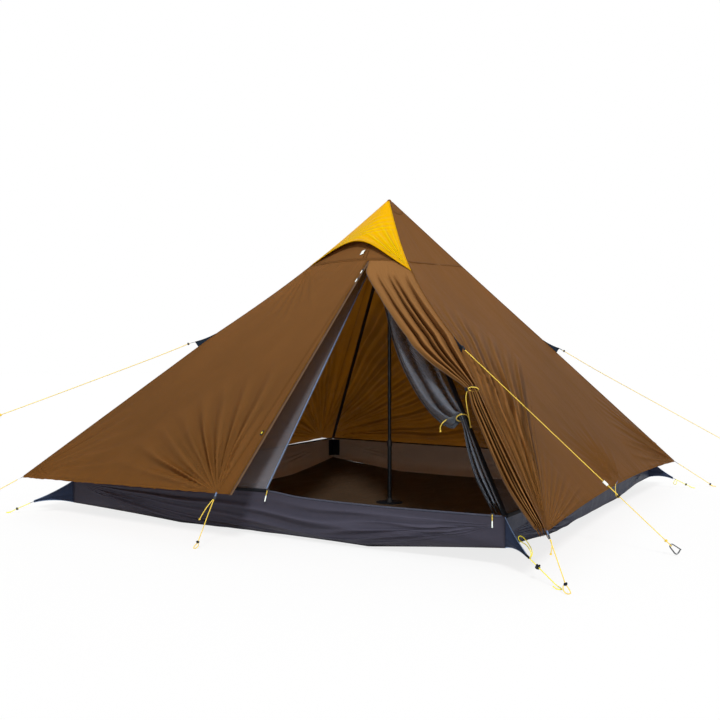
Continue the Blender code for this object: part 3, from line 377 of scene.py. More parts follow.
def tension_folds(shader, place, folds):
    """The height of the folds that radiate from points of tension in object space, and a mask of their crests, which
    the cloth paints lighter as a painted highlight.
    """
    total, painted_highlight = 0.0, 0.0
    for origin, toward, other, count, near, far, steep in folds:
        first = (toward - origin).normalized()
        normal = first.cross(other - origin).normalized()
        spread = first.angle(other - origin)
        away = shader.node("ShaderNodeVectorMath", {"operation": "SUBTRACT"}, {0: place, 1: origin})[0]
        along, beside = shader.dot(away, first), shader.dot(away, normal.cross(first))
        reach = (along * along + beside * beside) ** 0.5
        turn = along.join("ARCTAN2", beside, along) * (count / spread)
        wander = shader.noise(away, 1.4, 1.0) * 1.5
        own = shader.noise(shader.node("ShaderNodeCombineXYZ", None, {0: turn * 0.9, 1: far})[0], 1.0, 1.0) * 2
        crest = (((turn + wander) * (2 * pi)).only("COSINE") * 0.5 + 0.5) ** 1.4
        ends = ((reach - near * 0.3) / near).held() * ((far - reach) / (far * 0.7)).held()
        sides = (turn * 1.2).held() * ((count - turn) * 1.2).held()
        flat = shader.dot(away, normal).only("ABSOLUTE") < 0.25
        stand = crest * own * ends * sides * flat
        total = stand * reach * (spread / count * steep) + total
        painted_highlight = stand * min(steep, 1.0) + painted_highlight
    return total, painted_highlight


def sewn_cloth(name, colour, glow, through, roughness, gloss, seam=True, folds=(), painted_low_shade=0.0):
    """Coated, light-tight or glowing cloth with its felled edges, hem and stitches."""
    sizes = bpy.context.scene.tent_sizes
    shader = Shader(name)
    place = shader.cloth_place()
    across, down, _ = shader.parts(place)
    left, right, hem = shader.parts(shader.node(
        "ShaderNodeAttribute", {"attribute_name": "sewn"})[1])
    tone = shader.noise(shader.scale(place, (1.0, 0.6, 1.0)), 2.2, 3.0, 0.6)
    crease = shader.noise(shader.scale(place, (1.0, 0.45, 1.0)), 11.0, 4.0, 0.62, 0.35)
    sharp = 1 - (shader.noise(shader.scale(place, (0.8, 0.35, 1.0)), 5.0, 3.0, 0.5, 0.6) * 2 - 1).only("ABSOLUTE")
    height = crease * 0.003 + sharp ** 6 * 0.0016 + thread_bump(shader, place, 0.0026, 0.00004)
    shown = shader.mix(tone, shade(colour, 0.8), shade(colour, 1.18))
    # Painted shade: the crease noise that raises the creases in the bump also darkens the cloth, up to 0.35 of the way
    # to 0.72 of its colour.
    shown = shader.mix(crease * 0.35, shown, shade(colour, 0.72))
    world = shader.object_place()
    if folds:
        rise, painted_highlight = tension_folds(shader, world, folds)
        height = height + rise
        # Painted highlight: the fold crests are mixed up to 0.75 of the way to 2.3 times the cloth's colour.
        shown = shader.mix(painted_highlight.held() * 0.75, shown, shade(colour, 2.3))
    # Painted shade: the cloth is mixed towards black below 1.35 m, fully by 0.25 m, by the share given.
    if painted_low_shade:
        lowness = ((1.35 - shader.parts(world)[2]) / 1.1).held()
        shown = shader.mix(lowness * painted_low_shade, shown, (0.0, 0.0, 0.0))
    if seam:
        edge = left.join("MINIMUM", left, right)
        seam_band, hem_band = edge < sizes.seam_width / 2, hem < sizes.hem_width
        band = seam_band.join("MAXIMUM", seam_band, hem_band)
        stitches = (stitch_row(shader, left, down, 0.005, sizes.stitch_length)
                    + stitch_row(shader, right, down, 0.005, sizes.stitch_length)
                    + stitch_row(shader, hem, across, 0.013, sizes.stitch_length)
                    + stitch_row(shader, hem, across, 0.004, sizes.stitch_length))
        pucker = shader.noise(shader.scale(place, (40.0, 40.0, 1.0)), 1.0, 1.0) * 0.0012
        height = height + band * 0.0007 + band * pucker - stitches * 0.0006
        shown = shader.mix(band * 0.22, shown, shade(colour, 0.62))
        shown = shader.mix(stitches.join("MINIMUM", stitches, 1.0) * 0.7, shown, shade(colour, 0.4))
    rough = roughness + (crease - 0.5) * 0.22
    normal = shader.bump(height)
    solid = shader.surface({"Specular IOR Level": gloss, "Specular Tint": tuple(part ** 0.5 for part in colour)},
                           shown, rough, normal)
    if not through:
        return shader.finish(solid)
    veil = shader.node("ShaderNodeBsdfTranslucent", None, {
        "Color": shader.mix(tone, shade(glow, 0.75), shade(glow, 1.1)), "Normal": normal})[0]
    return shader.finish(shader.node("ShaderNodeMixShader", None, {0: through, 1: solid, 2: veil})[0])


def net_cloth(name, colour, open_share):
    """Fine net: the threads stay and the gaps let the view through."""
    shader = Shader(name)
    place = shader.cloth_place()
    tone = shader.noise(place, 3.0, 3.0, 0.6)
    fold = shader.noise(shader.scale(place, (1.0, 0.5, 1.0)), 5.0, 2.0, 0.5)
    x, y, _ = shader.parts(place)
    threads = (x * (pi / 0.0016)).only("SINE") * (y * (pi / 0.0016)).only("SINE")
    cover = (1 - open_share) + (tone - 0.5) * 0.2 + threads.only("ABSOLUTE") * 0.05
    # Painted light and shade: the net is lighter where the fold noise raises it in the bump and darker where it is
    # low.
    shown = shader.mix(fold, shade(colour, 0.72), shade(colour, 1.15))
    height = fold * 0.002 + threads * 0.00006
    solid = shader.surface({"Specular IOR Level": 0.06}, shown, 0.75 + (tone - 0.5) * 0.2,
                           shader.bump(height), Alpha=cover)
    return shader.finish(solid)


def cord_finish(name, colour):
    """Braided cord with crossed strands."""
    shader = Shader(name)
    around, along, _ = shader.parts(shader.cloth_place())
    one = ((around * 4 + along * 300) * (2 * pi)).only("SINE")
    other = ((around * 4 - along * 300) * (2 * pi)).only("SINE")
    braid = one.join("MAXIMUM", one, other)
    # Painted shade: the cord is darker in the grooves between the crossed strands and lighter on them.
    shown = shader.mix(braid * 0.5 + 0.5, shade(colour, 0.78), shade(colour, 1.08))
    return shader.finish(shader.surface(
        {"Specular IOR Level": 0.15}, shown, 0.62 - braid * 0.08, shader.bump(braid * 0.00022)))


def webbing_finish(name, colour, rib=0.0016, wear=0.35):
    """Woven tape with ribs across it and pale wear on the ribs."""
    shader = Shader(name)
    place = shader.cloth_place()
    across, along, _ = shader.parts(place)
    ribs = (along * (2 * pi / rib)).only("SINE")
    fibre = shader.noise(shader.scale(place, (300.0, 900.0, 1.0)), 1.0, 2.0)
    worn = shader.noise(place, 24.0, 3.0, 0.6) > 0.58
    # Painted shade: the tape is darker between its ribs and lighter on them.
    shown = shader.mix(ribs * 0.5 + 0.5, shade(colour, 0.55), shade(colour, 1.3))
    shown = shader.mix(worn * fibre * wear, shown, tuple(part * 1.4 + 0.03 for part in colour))
    return shader.finish(shader.surface(
        {"Specular IOR Level": 0.12}, shown, 0.72 + (fibre - 0.5) * 0.2, shader.bump(ribs * 0.00022 + fibre * 0.0001)))


def moulded_finish(name, colour, roughness, wear=0.25, glow=0.0):
    """Moulded plastic: fine grain, worn paler on its scuffs."""
    shader = Shader(name)
    place = shader.object_place()
    grain = shader.noise(place, 900.0, 2.0)
    scuff = shader.noise(place, 60.0, 4.0, 0.65)
    marks = (scuff - 0.55).join("MAXIMUM", scuff - 0.55, 0.0) * 4
    shown = shader.mix(marks * wear, shade(colour, 0.92), tuple(part * 0.9 + 0.06 for part in colour))
    # Emission at the glow given, only in the pull finish: the luminous pulls' own glow, and painted light on the blank
    # care tag that shares it.
    return shader.finish(shader.surface(
        {"Specular IOR Level": 0.5, "Emission Strength": glow, "Emission Color": colour}, shown,
        roughness + (scuff - 0.5) * 0.25, shader.bump(grain * 0.00004 + scuff * 0.0001)))


def metal_finish(name, colour, roughness, along):
    """Drawn or ground metal with fine lines along it and small knocks."""
    shader = Shader(name)
    place = shader.object_place()
    lines = shader.noise(shader.scale(place, along), 1.0, 3.0, 0.6)
    knocks = shader.noise(place, 130.0, 3.0, 0.7)
    bare = (knocks - 0.62).join("MAXIMUM", knocks - 0.62, 0.0) * 6
    shown = shader.mix(bare.join("MINIMUM", bare, 1.0), shader.mix(lines, shade(colour, 0.8), shade(colour, 1.25)),
                       (0.4, 0.41, 0.43))
    return shader.finish(shader.surface(
        {"Coat Weight": 0.15, "Coat Roughness": 0.25}, shown, roughness + (lines - 0.5) * 0.18,
        shader.bump(lines * 0.00003 + knocks * 0.00004), Metallic=0.75 + bare * 0.25))


def zip_finish(name, colour, pitch=0.003):
    """A zip's tape and its moulded coil."""
    shader = Shader(name)
    place = shader.cloth_place()
    across, along, _ = shader.parts(place)
    teeth = (along * (2 * pi / pitch)).only("SINE")
    fibre = shader.noise(place, 400.0, 2.0)
    # Painted shade: the coil is darker between its teeth and lighter on them.
    shown = shader.mix(teeth * 0.5 + 0.5, shade(colour, 0.5), shade(colour, 1.35))
    return shader.finish(shader.surface(
        {"Specular IOR Level": 0.5}, shown, 0.42 + fibre * 0.2, shader.bump(teeth * 0.0005 + fibre * 0.0001)))


def ground_finish(name, colour):
    """The studio floor: pale, and white to the camera where nothing shades it."""
    shader = Shader(name)
    place = shader.object_place()
    grain = shader.noise(place, 2.0, 3.0)
    lit = shader.surface({"Specular IOR Level": 0.0}, shader.mix(grain * 0.1, colour, shade(colour, 0.98)), 0.95)
    seen = shader.node("ShaderNodeLightPath")[0]
    clear = shader.node("ShaderNodeEmission", None, {"Color": (1, 1, 1), "Strength": 1.0})[0]
    return shader.finish(shader.node("ShaderNodeMixShader", None, {0: seen * 0.8, 1: lit, 2: clear})[0])


def build_materials():
    """Every finish, by the name that the pieces use."""
    hue = bpy.context.scene.tent_colours
    right, back = side_panel("front_right", "back_right"), side_panel("back_right", "back_left", 0)
    corner = {name: corner_point(name) for name in CORNERS}
    left = side_panel("back_left", "front_left", 0.004)
    # Each fold list sets folds in the bump and the painted highlight on their crests.
    right_folds = [
        (corner["front_right"], right(0.01, 0.62), right(0.5, 0.62), 7, 0.05, 1.65, 1.1),
        (corner["front_right"], right(0.4, 0.6), right(0.9, 0.96), 9, 0.04, 0.75, 0.3),
        (corner["back_right"], right(0.3, 0.98), right(0.95, 0.4), 9, 0.05, 0.9, 0.34),
    ]
    front_folds = [
        (door_foot, closed_half(0.995, 0.4), closed_half(0.15, 0.985), 9, 0.05, 0.85, 0.28),
        (corner["front_left"], closed_half(0.9, 0.985), closed_half(0.04, 0.3), 6, 0.05, 0.8, 0.16),
    ]
    back_folds = [
        (corner["back_left"], back(0.1, 0.97), back(0.85, 0.1), 12, 0.06, 3.2, 0.75),
        (corner["back_left"], left(0.05, 0.2), left(0.9, 0.97), 10, 0.06, 2.2, 0.55),
    ]
    front, side = tub_wall("front_left", "front_right"), tub_wall("front_right", "back_right")
    tub_folds = [
        (front(0.0, 0.1), front(0.6, 0.0), front(0.35, 1.0), 6, 0.1, 2.4, 0.45),
        (front(1.0, 0.3), front(0.65, 1.0), front(0.55, 0.0), 5, 0.06, 1.1, 0.5),
        (side(0.0, 0.6), side(0.4, 0.0), side(0.4, 1.0), 5, 0.05, 1.2, 0.5),
    ]
    hood = front_band(hood_lift, hood_bow, hood_arch_share, hood_end_share)
    hood_folds = [
        (hood(0.98, 0.97), hood(0.72, 0.97), hood(0.8, 0.1), 5, 0.03, 0.5, 0.45),
        (hood(0.02, 0.97), hood(0.15, 0.6), hood(0.5, 0.8), 5, 0.03, 0.55, 0.4),
    ]
    return {
        # The last number of each fly cloth is its share of painted shade towards the ground.
        "fly": sewn_cloth("fly cloth", hue.fly, hue.glow, 0.4, 0.5, 0.012, True, front_folds, 0.4),
        "fly_right": sewn_cloth("right fly cloth", hue.fly, hue.glow, 0.4, 0.5, 0.012, True, right_folds, 0.36),
        "fly_back": sewn_cloth("back fly cloth", hue.fly, hue.glow, 0.4, 0.5, 0.012, True, back_folds, 0.2),
        # Painted light: the gathered door is a lit copy of the fly cloth, 1.25 times its colour.
        "door": sewn_cloth("door cloth", shade(hue.fly, 1.25), hue.glow, 0.22, 0.46, 0.012),
        "hood": sewn_cloth("hood cloth", hue.hood, hue.hood, 0.15, 0.45, 0.05, True, hood_folds),
        "tub": sewn_cloth("tub cloth", hue.tub, hue.tub_glow, 0.15, 0.48, 0.12, True, tub_folds),
        # Painted shade: the right wall and the wings take the darker, bluer tub side colour.
        "tub_side": sewn_cloth("tub side cloth", hue.tub_side, hue.tub_glow, 0.1, 0.48, 0.2, True, tub_folds),
        # Painted light: the pale lining stands in for daylight that falls inside the tub.
        "lining": sewn_cloth("tub lining", hue.lining, hue.lining, 0, 0.6, 0.05, seam=False),
        "floor": sewn_cloth("tub floor", hue.floor, hue.floor, 0, 0.5, 0.06, seam=False),
        "net": net_cloth("tent net", hue.net, 0.8),
        "net_front": net_cloth("door side net", hue.net, 0.4),
        # Painted light: the gathered net takes the lighter, bluer copy of the net colour.
        "net_full": net_cloth("gathered net", hue.gathered_net, 0.5),
        "edging": webbing_finish("pale edging", hue.edging, 0.001),
        "sill": webbing_finish("sill tape", hue.sill, 0.001),
        "webbing": webbing_finish("black webbing", hue.webbing),
        "binding": webbing_finish("black binding", shade(hue.webbing, 0.5), wear=0),
        "fin": webbing_finish("fin laminate", hue.fin, 0.004),
        "zip": zip_finish("zip coil", shade(hue.fly, 0.5)),
        "net_zip": zip_finish("net zip coil", hue.webbing),
        "cord": cord_finish("guy cord", hue.cord),
        "tub_cord": cord_finish("tub corner cord", hue.tub_cord),
        "black_cord": cord_finish("black knot cord", hue.webbing),
        "plastic": moulded_finish("buckle plastic", hue.plastic, 0.42),
        "rubber": moulded_finish("pole rubber", hue.plastic, 0.7, 0.1),
        "pull": moulded_finish("zip pull", hue.pull, 0.5, 0.1, 0.15),
        "pole": metal_finish("anodised tube", hue.pole, 0.36, (900.0, 900.0, 12.0)),
        "steel": metal_finish("carabiner steel", shade(hue.steel, 0.45), 0.28, (300.0, 300.0, 300.0)),
        "ground": ground_finish("studio floor", hue.ground),
    }


finishes = {}


def smooth(table, place):
    """Read a table of (place, value) rows as one smooth curve."""
    if place <= table[0][0]:
        return table[0][1]
    if place >= table[-1][0]:
        return table[-1][1]
    row = 1
    while place > table[row][0]:
        row += 1
    start, end = table[row - 1], table[row]
    before = table[max(row - 2, 0)]
    after = table[min(row + 1, len(table) - 1)]
    span = end[0] - start[0]
    leave = (end[1] - before[1]) / (end[0] - before[0]) * span
    arrive = (after[1] - start[1]) / (after[0] - start[0]) * span
    return blend(start[1], end[1], leave, arrive, (place - start[0]) / span)


def blend(start, end, leave, arrive, u):
    """The smooth curve from start to end with these slopes at its two ends."""
    return (start * (2 * u ** 3 - 3 * u ** 2 + 1) + end * (3 * u ** 2 - 2 * u ** 3)
            + leave * (u ** 3 - 2 * u ** 2 + u) + arrive * (u ** 3 - u ** 2))


def ease(value, start, end):
    """Zero before start, one after end, smooth between."""
    place = min(max((value - start) / (end - start), 0), 1)
    return place * place * (3 - 2 * place)


def bulge(across):
    return 4 * across * (1 - across)


def level(point):
    return Vector((point.x, point.y, 0))


def inward(point):
    return -level(point).normalized()


def scaled(shares, *sizes):
    return Vector([share * size for share, size in zip(shares, sizes)])


def inset(across, width, left_margin, right_margin):
    start = left_margin / width
    return start + across * (1 - start - right_margin / width)


def three_point(left, middle, right, across):
    return (left * (1 - across) * (1 - 2 * across) + middle * bulge(across)
            + right * across * (2 * across - 1))


# The fly's shape
def next_corner(name):
    """The corner that follows, counted from the front left by way of the front right."""
    return CORNERS[(CORNERS.index(name) + 1) % len(CORNERS)]


def corner_point(name):
    return scaled(CORNER_SHARES[name], fly_side, fly_side, hem_height)


door_foot = scaled(DOOR_FOOT_SHARES, fly_side, fly_side, hem_height)
ridge_margin = cloth * miter_share
net_margin = net * miter_share


def ridge_point(name, share):
    """A point on a ridge of the fly, with its droop and its pull at the fin."""
    foot = corner_point(name)
    droop, fin_droop, sideways = SAG_SHARES[name]
    fin_top = FIN_SHARES[name]
    hump = sin(pi * share / fin_top) if share < fin_top else 0
    pull = min(share / fin_top, (1 - share) / (1 - fin_top))
    out = -inward(foot)
    beside = Vector((out.y, -out.x, 0))
    bend = beside * sideways * hump - up * (droop * hump + fin_droop * pull)
    return apex.lerp(foot, share) + bend * apex_height


def ridge_share(name, row):
    """The share of a ridge at a row of cloth."""
    fin_top = FIN_SHARES[name]
    if row <= seam_row:
        return top_share + (seam_side_share - top_share) * row / seam_row
    if row <= fin_row:
        return seam_side_share + (fin_top - seam_side_share) * (row - seam_row) / (fin_row - seam_row)
    if row <= fin_row + 1:
        return fin_top + fin_span_share * (row - fin_row)
    rest = (row - fin_row - 1) / (ridge_rows - fin_row - 1)
    return fin_top + fin_span_share + (1 - fin_top - fin_span_share) * rest


def centre_point(share):
    extra = min(share / seam_side_share, (1 - share) / (1 - seam_side_share))
    return apex.lerp(door_foot, share + (seam_centre_share - seam_side_share) * extra)


def side_panel(left, right, arch=hem_rise_share):
    def surface(across, down):
        row, rise = down * ridge_rows, 1 - arch * bulge(across) * down ** 2
        share = ridge_share(left, row) * rise
        start, end = ridge_point(left, share), ridge_point(right, ridge_share(right, row) * rise)
        place = inset(across, (end - start).length, ridge_margin, ridge_margin)
        point = start.lerp(end, place)
        return point + inward(point) * panel_belly * bulge(across) * sin(pi * share)
    return surface


hood_lip = 0.012


def front_band(lift, bow, arch, right_share):
    """The front above the seam, from ridge to ridge, with its lower edge arched up and bowed out."""
    def surface(across, down):
        rise = 1 - arch * bulge(across) * down
        share = ridge_share("front_left", down * seam_row) * rise
        other = share * (1 + (right_share / seam_side_share - 1) * down)
        start, end = ridge_point("front_left", share), ridge_point("front_right", other)
        place = inset(across, (end - start).length, ridge_margin, ridge_margin)
        point = three_point(start, centre_point((share + other) / 2), end, place)
        lip = hood_lip * ease(down, 0.86, 1) * bulge(across) if bow else 0
        return point + front_out * (lift + bow * bulge(across) * down + lip)
    return surface


def seam_point(across):
    """The seam under the hood, from the left ridge to the right one."""
    return three_point(ridge_point("front_left", seam_side_share), centre_point(seam_side_share),
                       ridge_point("front_right", seam_side_share), across)


def door_edge_point(down):
    return seam_point(door_split_share).lerp(door_foot, down)


def zip_point(down):
    """The outer edge of the storm flap, where the zip runs."""
    return door_edge_point(down) + east * (flap_top_width + down * (flap_width - flap_top_width))


def closed_half(across, down):
    """The closed left half of the front face."""
    share = ridge_share("front_left", seam_row + down * (ridge_rows - seam_row))
    drop = (share - seam_side_share) / (1 - seam_side_share)
    start, end = ridge_point("front_left", share), door_edge_point(drop)
    place = inset(across, (end - start).length, ridge_margin, seam_gap)
    flat = seam_point(0).lerp(seam_point(door_split_share), place)
    point = start.lerp(end, place) + (seam_point(door_split_share * place) - flat) * (1 - drop) ** 3
    point += inward(point) * panel_belly * bulge(across) * sin(pi * drop)
    return point + front_down * stitch_gap * (1 - drop)


def storm_flap(across, down):
    start, end = door_edge_point(down), zip_point(down)
    return start.lerp(end, across) + east * seam_gap * (1 - across) + front_down * stitch_gap * (1 - down)


def pleated(right, left, u, full_width, pleats, seed, out, slack):
    """A point on a drawn-over sheet that keeps its cloth in pleats."""
    width = (left - right).length
    depth = sqrt(max((full_width * slack) ** 2 - width ** 2, 0)) / (2 * pleats)
    turn = pleats * (u + 0.035 * sin(2 * pi * (u * 1.3 + seed)) + 0.02 * sin(2 * pi * (u * 2.9 - seed)))
    own = 1 + 0.35 * noise.noise(Vector((u * pleats * 0.9, seed * 3, full_width)))
    crest = abs(sin(pi * turn)) ** 0.75 - 0.6
    return right.lerp(left, u) + out * depth * own * ease(u, 0, 0.6 / pleats) * crest


slack_share = 0.88
inner_slack_share = 0.76


def door_full_width(share):
    """How wide the door half is at a ridge share before it is tied back."""
    top = (seam_point(1) - seam_point(door_split_share)).length
    hem = (corner_point("front_right") - door_foot).length
    return top + (hem - top) * (share - seam_side_share) / (1 - seam_side_share)


def gathered_door(across, down):
    """The right half of the front face, tied back to its ridge."""
    pleats = bpy.context.scene.tent_sizes.door_pleats
    share = ridge_share("front_right", seam_row + down * (ridge_rows - seam_row))
    right = ridge_point("front_right", share)
    left = centre_point(share).lerp(right, smooth(DOOR_OPEN_SHARES, share))
    u = inset(1 - across, (left - right).length, ridge_margin, 0)
    bundle = 1 - 0.45 * exp(-((share - tie_share) / 0.035) ** 2)
    slack = slack_share * (1 - 0.36 * ease(share, tie_share, tie_share + 0.1))
    point = pleated(right, left, u, door_full_width(share) * bundle, pleats, 0.37, front_out, slack)
    start = door_split_share + (flap_top_width + slider_width) / (seam_point(1) - seam_point(0)).length
    gather = ease(share, seam_side_share, seam_side_share + 0.06)
    flat = right.lerp(left, u)
    point = flat.lerp(point, gather)
    hang = seam_point(1 - u * (1 - start)) - door_row_edge(u)
    return point + hang * (1 - down) ** 3 + front_down * stitch_gap * (1 - down)


def door_row_edge(u):
    right = ridge_point("front_right", seam_side_share)
    return right.lerp(centre_point(seam_side_share).lerp(right, DOOR_OPEN_SHARES[0][1]), u)


# The inner tent's shape
def tub_corner(name):
    return scaled(TUB_SHARES[name], tub_side, tub_side)


def wall_top(first, second, place):
    start, end = tub_corner(first).to_3d(), tub_corner(second).to_3d()
    point = start.lerp(end, place)
    if first == "front_left":
        return level(point) + up * smooth(SILL_SHARES, place) * tub_wall_top
    share = TUB_SHARES[first][3] * (1 - place) + TUB_SHARES[second][3] * place
    return level(point) + up * (share * tub_wall_top - tub_dip * bulge(place))


def inner_ridge(name, share):
    follow = next_corner(name)
    return inner_apex.lerp(wall_top(name, follow, 0), share)


def inner_centre(share):
    return inner_apex.lerp(wall_top("front_left", "front_right", inner_split_share), share)


def net_wall(first, second, start, end, margin_end):
    def surface(across, down):
        share = inner_top_share + down * (1 - inner_top_share)
        left = inner_apex.lerp(wall_top(first, second, start), share)
        right = inner_apex.lerp(wall_top(first, second, end), share)
        place = inset(across, (right - left).length, net_margin, margin_end)
        point = left.lerp(right, place)
        point += inward(point) * panel_belly * bulge(across) * sin(pi * share)
        foot = wall_top(first, second, start + (end - start) * place)
        chord = wall_top(first, second, start).lerp(wall_top(first, second, end), place)
        return point + (foot - chord + up * net_margin) * down ** 4
    return surface


def inner_row(column, down):
    """One column of the inner door's rows: seam share, edge share, or how far it is drawn over."""
    rows = len(INNER_ROW_SHARES) - 1
    return smooth([(row / rows, shares[column]) for row, shares in enumerate(INNER_ROW_SHARES)], down)


def inner_door(across, down):
    """The right half of the inner front, tied back to its corner seam."""
    seam_place, edge_place, drawn = (inner_row(column, down) for column in range(3))
    right = inner_ridge("front_right", seam_place)
    left = inner_centre(edge_place).lerp(inner_ridge("front_right", edge_place), drawn)
    u = inset(1 - across, (left - right).length, net_margin, 0)
    full = (inner_ridge("front_right", 1) - inner_centre(1)).length * seam_place
    bundle = 1 - 0.45 * exp(-((seam_place - inner_tie_share) / 0.035) ** 2)
    pleats = bpy.context.scene.tent_sizes.inner_pleats
    return pleated(right, left, u, full * bundle, pleats, 0.81, front_out, inner_slack_share)


def lift_at(place):
    return max((abs(2 * place - 1) - lift_start_share) / (1 - lift_start_share), 0)


def tub_ground(first, second, place):
    """The tub's lower edge: drawn in, on the ground in the middle and lifted at the corners."""
    start, end = tub_corner(first).to_3d(), tub_corner(second).to_3d()
    middle = level(start + end) / 2
    point = level(start.lerp(end, place)) + inward(middle) * floor_bow * bulge(place)
    lift = TUB_SHARES[first if place < 0.5 else second][2]
    return point + up * tub_corner_lift * lift * lift_at(place)


def tub_wall(first, second):
    def surface(across, down):
        length = (tub_corner(first) - tub_corner(second)).length
        place = inset(across, length, stitch_gap, stitch_gap)
        low, high = tub_ground(first, second, place), wall_top(first, second, place)
        rise = 1 - down
        reach = 1 - (1 - rise) ** 8
        return low.lerp(high, rise) + level(high - low) * (reach - rise) + up * seam_gap * down
    return surface


def floor_surface(across, down):
    """The tub floor seen from above: flat on the ground, with lifted corners."""
    a, b = across, 1 - down
    front, back = tub_ground("front_left", "front_right", a), tub_ground("back_right", "back_left", 1 - a)
    left, right = tub_ground("back_left", "front_left", 1 - b), tub_ground("front_right", "back_right", b)
    flat = [tub_corner(name).to_3d() for name in CORNERS]
    corners = (flat[0].lerp(flat[1], a)).lerp(flat[3].lerp(flat[2], a), b)
    point = front.lerp(back, b) + left.lerp(right, a) - corners
    near = ("back_" if b > 0.5 else "front_") + ("right" if a > 0.5 else "left")
    lift = tub_corner_lift * TUB_SHARES[near][2] * lift_at(a) * lift_at(b)
    drawn = Vector((1 - 2 * a, 1 - 2 * b, 0)) * seam_gap
    return level(point) + drawn + up * lift


# Folds
def fan(origin, toward, other, count, near, far, depth, seed=0.0, narrow=1.6):
    """Folds that radiate from a point of tension, between two directions."""
    first = (toward - origin).normalized()
    normal = first.cross(other - origin).normalized()
    side = normal.cross(first)
    spread = first.angle(other - origin)

    def height(point):
        away = point - origin
        along, beside = away.dot(first), away.dot(side)
        reach = sqrt(along ** 2 + beside ** 2)
        turn = atan2(beside, along) / spread
        if not 0 < turn < 1 or not near * 0.3 < reach < far * 1.3:
            return 0
        place = turn * count + 0.3 * noise.noise(Vector((turn * count * 0.7, seed, reach * 1.5)))
        vary = 1 + 0.5 * noise.noise(Vector((round(place) * 1.73, seed * 5.1, 2.0)))
        own_far = far * (0.85 + 0.55 * noise.noise(Vector((round(place) * 2.31, seed * 3.7, 7.0))))
        crest = (0.5 + 0.5 * cos(2 * pi * place)) ** narrow
        limit = reach * spread / count * 0.5
        fade = ease(reach, near * 0.3, near) * (1 - ease(reach, own_far * 0.35, own_far))
        side_fade = ease(turn, 0, 0.5 / count) * ease(1 - turn, 0, 0.5 / count)
        return min(depth, limit) * vary * crest * fade * side_fade
    return height


def crinkle(depth, across_scale, down_scale, seed):
    """Slack cloth: slow rises that run mostly down the panel."""
    def height(across, down, point):
        coarse = noise.noise(Vector((across * across_scale, down * down_scale, seed)))
        fine = noise.noise(Vector((across * across_scale * 2.7, down * down_scale * 2.1, seed + 4)))
        return depth * (coarse + 0.4 * fine)
    return height


def hem_pucker(depth, length, seed):
    """Short waves that a hem's stitching draws up, fading out above it."""
    def height(across, down, point):
        wave = noise.noise(Vector((across * 46, seed, 1.0))) + 0.6 * noise.noise(Vector((across * 21, seed, 5.0)))
        return depth * wave * exp(-(1 - down) * length / 0.07)
    return height


def seam_pucker(depth, length, seed):
    """Short wrinkles that hang from a puckered seam."""
    def height(across, down, point):
        wave = noise.noise(Vector((across * 30 + down * 6, down * 1.5, seed)))
        return depth * wave * exp(-down * length / 0.09) * ease(down * length, 0, 0.02)
    return height


def relief(fans, waves):
    """The sum of a panel's folds, held flat along its side seams."""
    def height(across, down, point):
        held = ease(min(across, 1 - across), 0, 0.02)
        total = sum(each(point) for each in fans) + sum(each(across, down, point) for each in waves)
        return total * held * ease(down, 0, 0.03)
    return height


# Making pieces
def finished_mesh(shape, name):
    """The mesh of a finished bmesh."""
    mesh = bpy.data.meshes.new(name)
    shape.to_mesh(mesh)
    shape.free()
    return mesh


def place_piece(mesh, name, finish, body="tent", replaces=()):
    """Link a finished mesh as a piece that rides on a body."""
    mesh.materials.clear()
    mesh.materials.append(finishes[finish])
    item = bpy.data.objects.new(name, mesh)
    bpy.context.scene.collection.objects.link(item)
    mesh.shade_smooth()
    mesh.set_sharp_from_angle(angle=radians(40))
    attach(item, body)
    if replaces:
        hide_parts(*replaces)
    return item


def sewn_sheet(name, surface, counts, thickness, finish, height=None, replaces=(), dense=1.0,
               side=-1.0, inside=None):
    """Cloth on a surface(across, down), with its folds, its flat places and its distances to its edges."""
    columns, rows = counts
    shape = bmesh.new()
    bmesh.ops.create_grid(shape, x_segments=columns, y_segments=rows, size=0.5)
    uv = shape.loops.layers.uv.new("cloth")
    sewn = shape.verts.layers.float_vector.new("sewn")
    places = {}
    widths = {}
    long = (surface(0.5, 1) - surface(0.5, 0)).length
    for vertex in shape.verts:
        across, down = (vertex.co.x + 0.5) ** dense, 0.5 - vertex.co.y
        row = round(down * rows)
        if row not in widths:
            widths[row] = (surface(1, down) - surface(0, down)).length
        places[vertex] = (across, down, widths[row])
        vertex.co = surface(across, down)
    shape.normal_update()
    moves = []
    for vertex in shape.verts:
        across, down, width = places[vertex]
        vertex[sewn] = (across * width, (1 - across) * width, (1 - down) * long)
        moves.append(vertex.normal * height(across, down, vertex.co) if height else Vector())
    for vertex, move in zip(shape.verts, moves):
        vertex.co += move
    for face in shape.faces:
        for loop in face.loops:
            across, down, width = places[loop.vert]
            loop[uv].uv = ((across - 0.5) * width, down * long)
    mesh = finished_mesh(shape, name)
    item = place_piece(mesh, name, finish, replaces=replaces)
    thicken = item.modifiers.new("thickness", "SOLIDIFY")
    thicken.thickness = thickness
    thicken.offset = side
    if inside:
        mesh.materials.append(finishes[inside])
        thicken.material_offset = 1
    return item


def path_turns(points):
    """A matrix at each point of a path, whose Z runs along the path, without twist."""
    turns = []
    way = (points[1] - points[0]).normalized()
    wide = way.orthogonal().normalized()
    for index, point in enumerate(points):
        ahead = points[min(index + 1, len(points) - 1)] - points[max(index - 1, 0)]
        ahead.normalize()
        wide = (wide - ahead * wide.dot(ahead)).normalized()
        turns.append(Matrix.Translation(point) @ Matrix((wide, ahead.cross(wide), ahead)).transposed().to_4x4())
    return turns


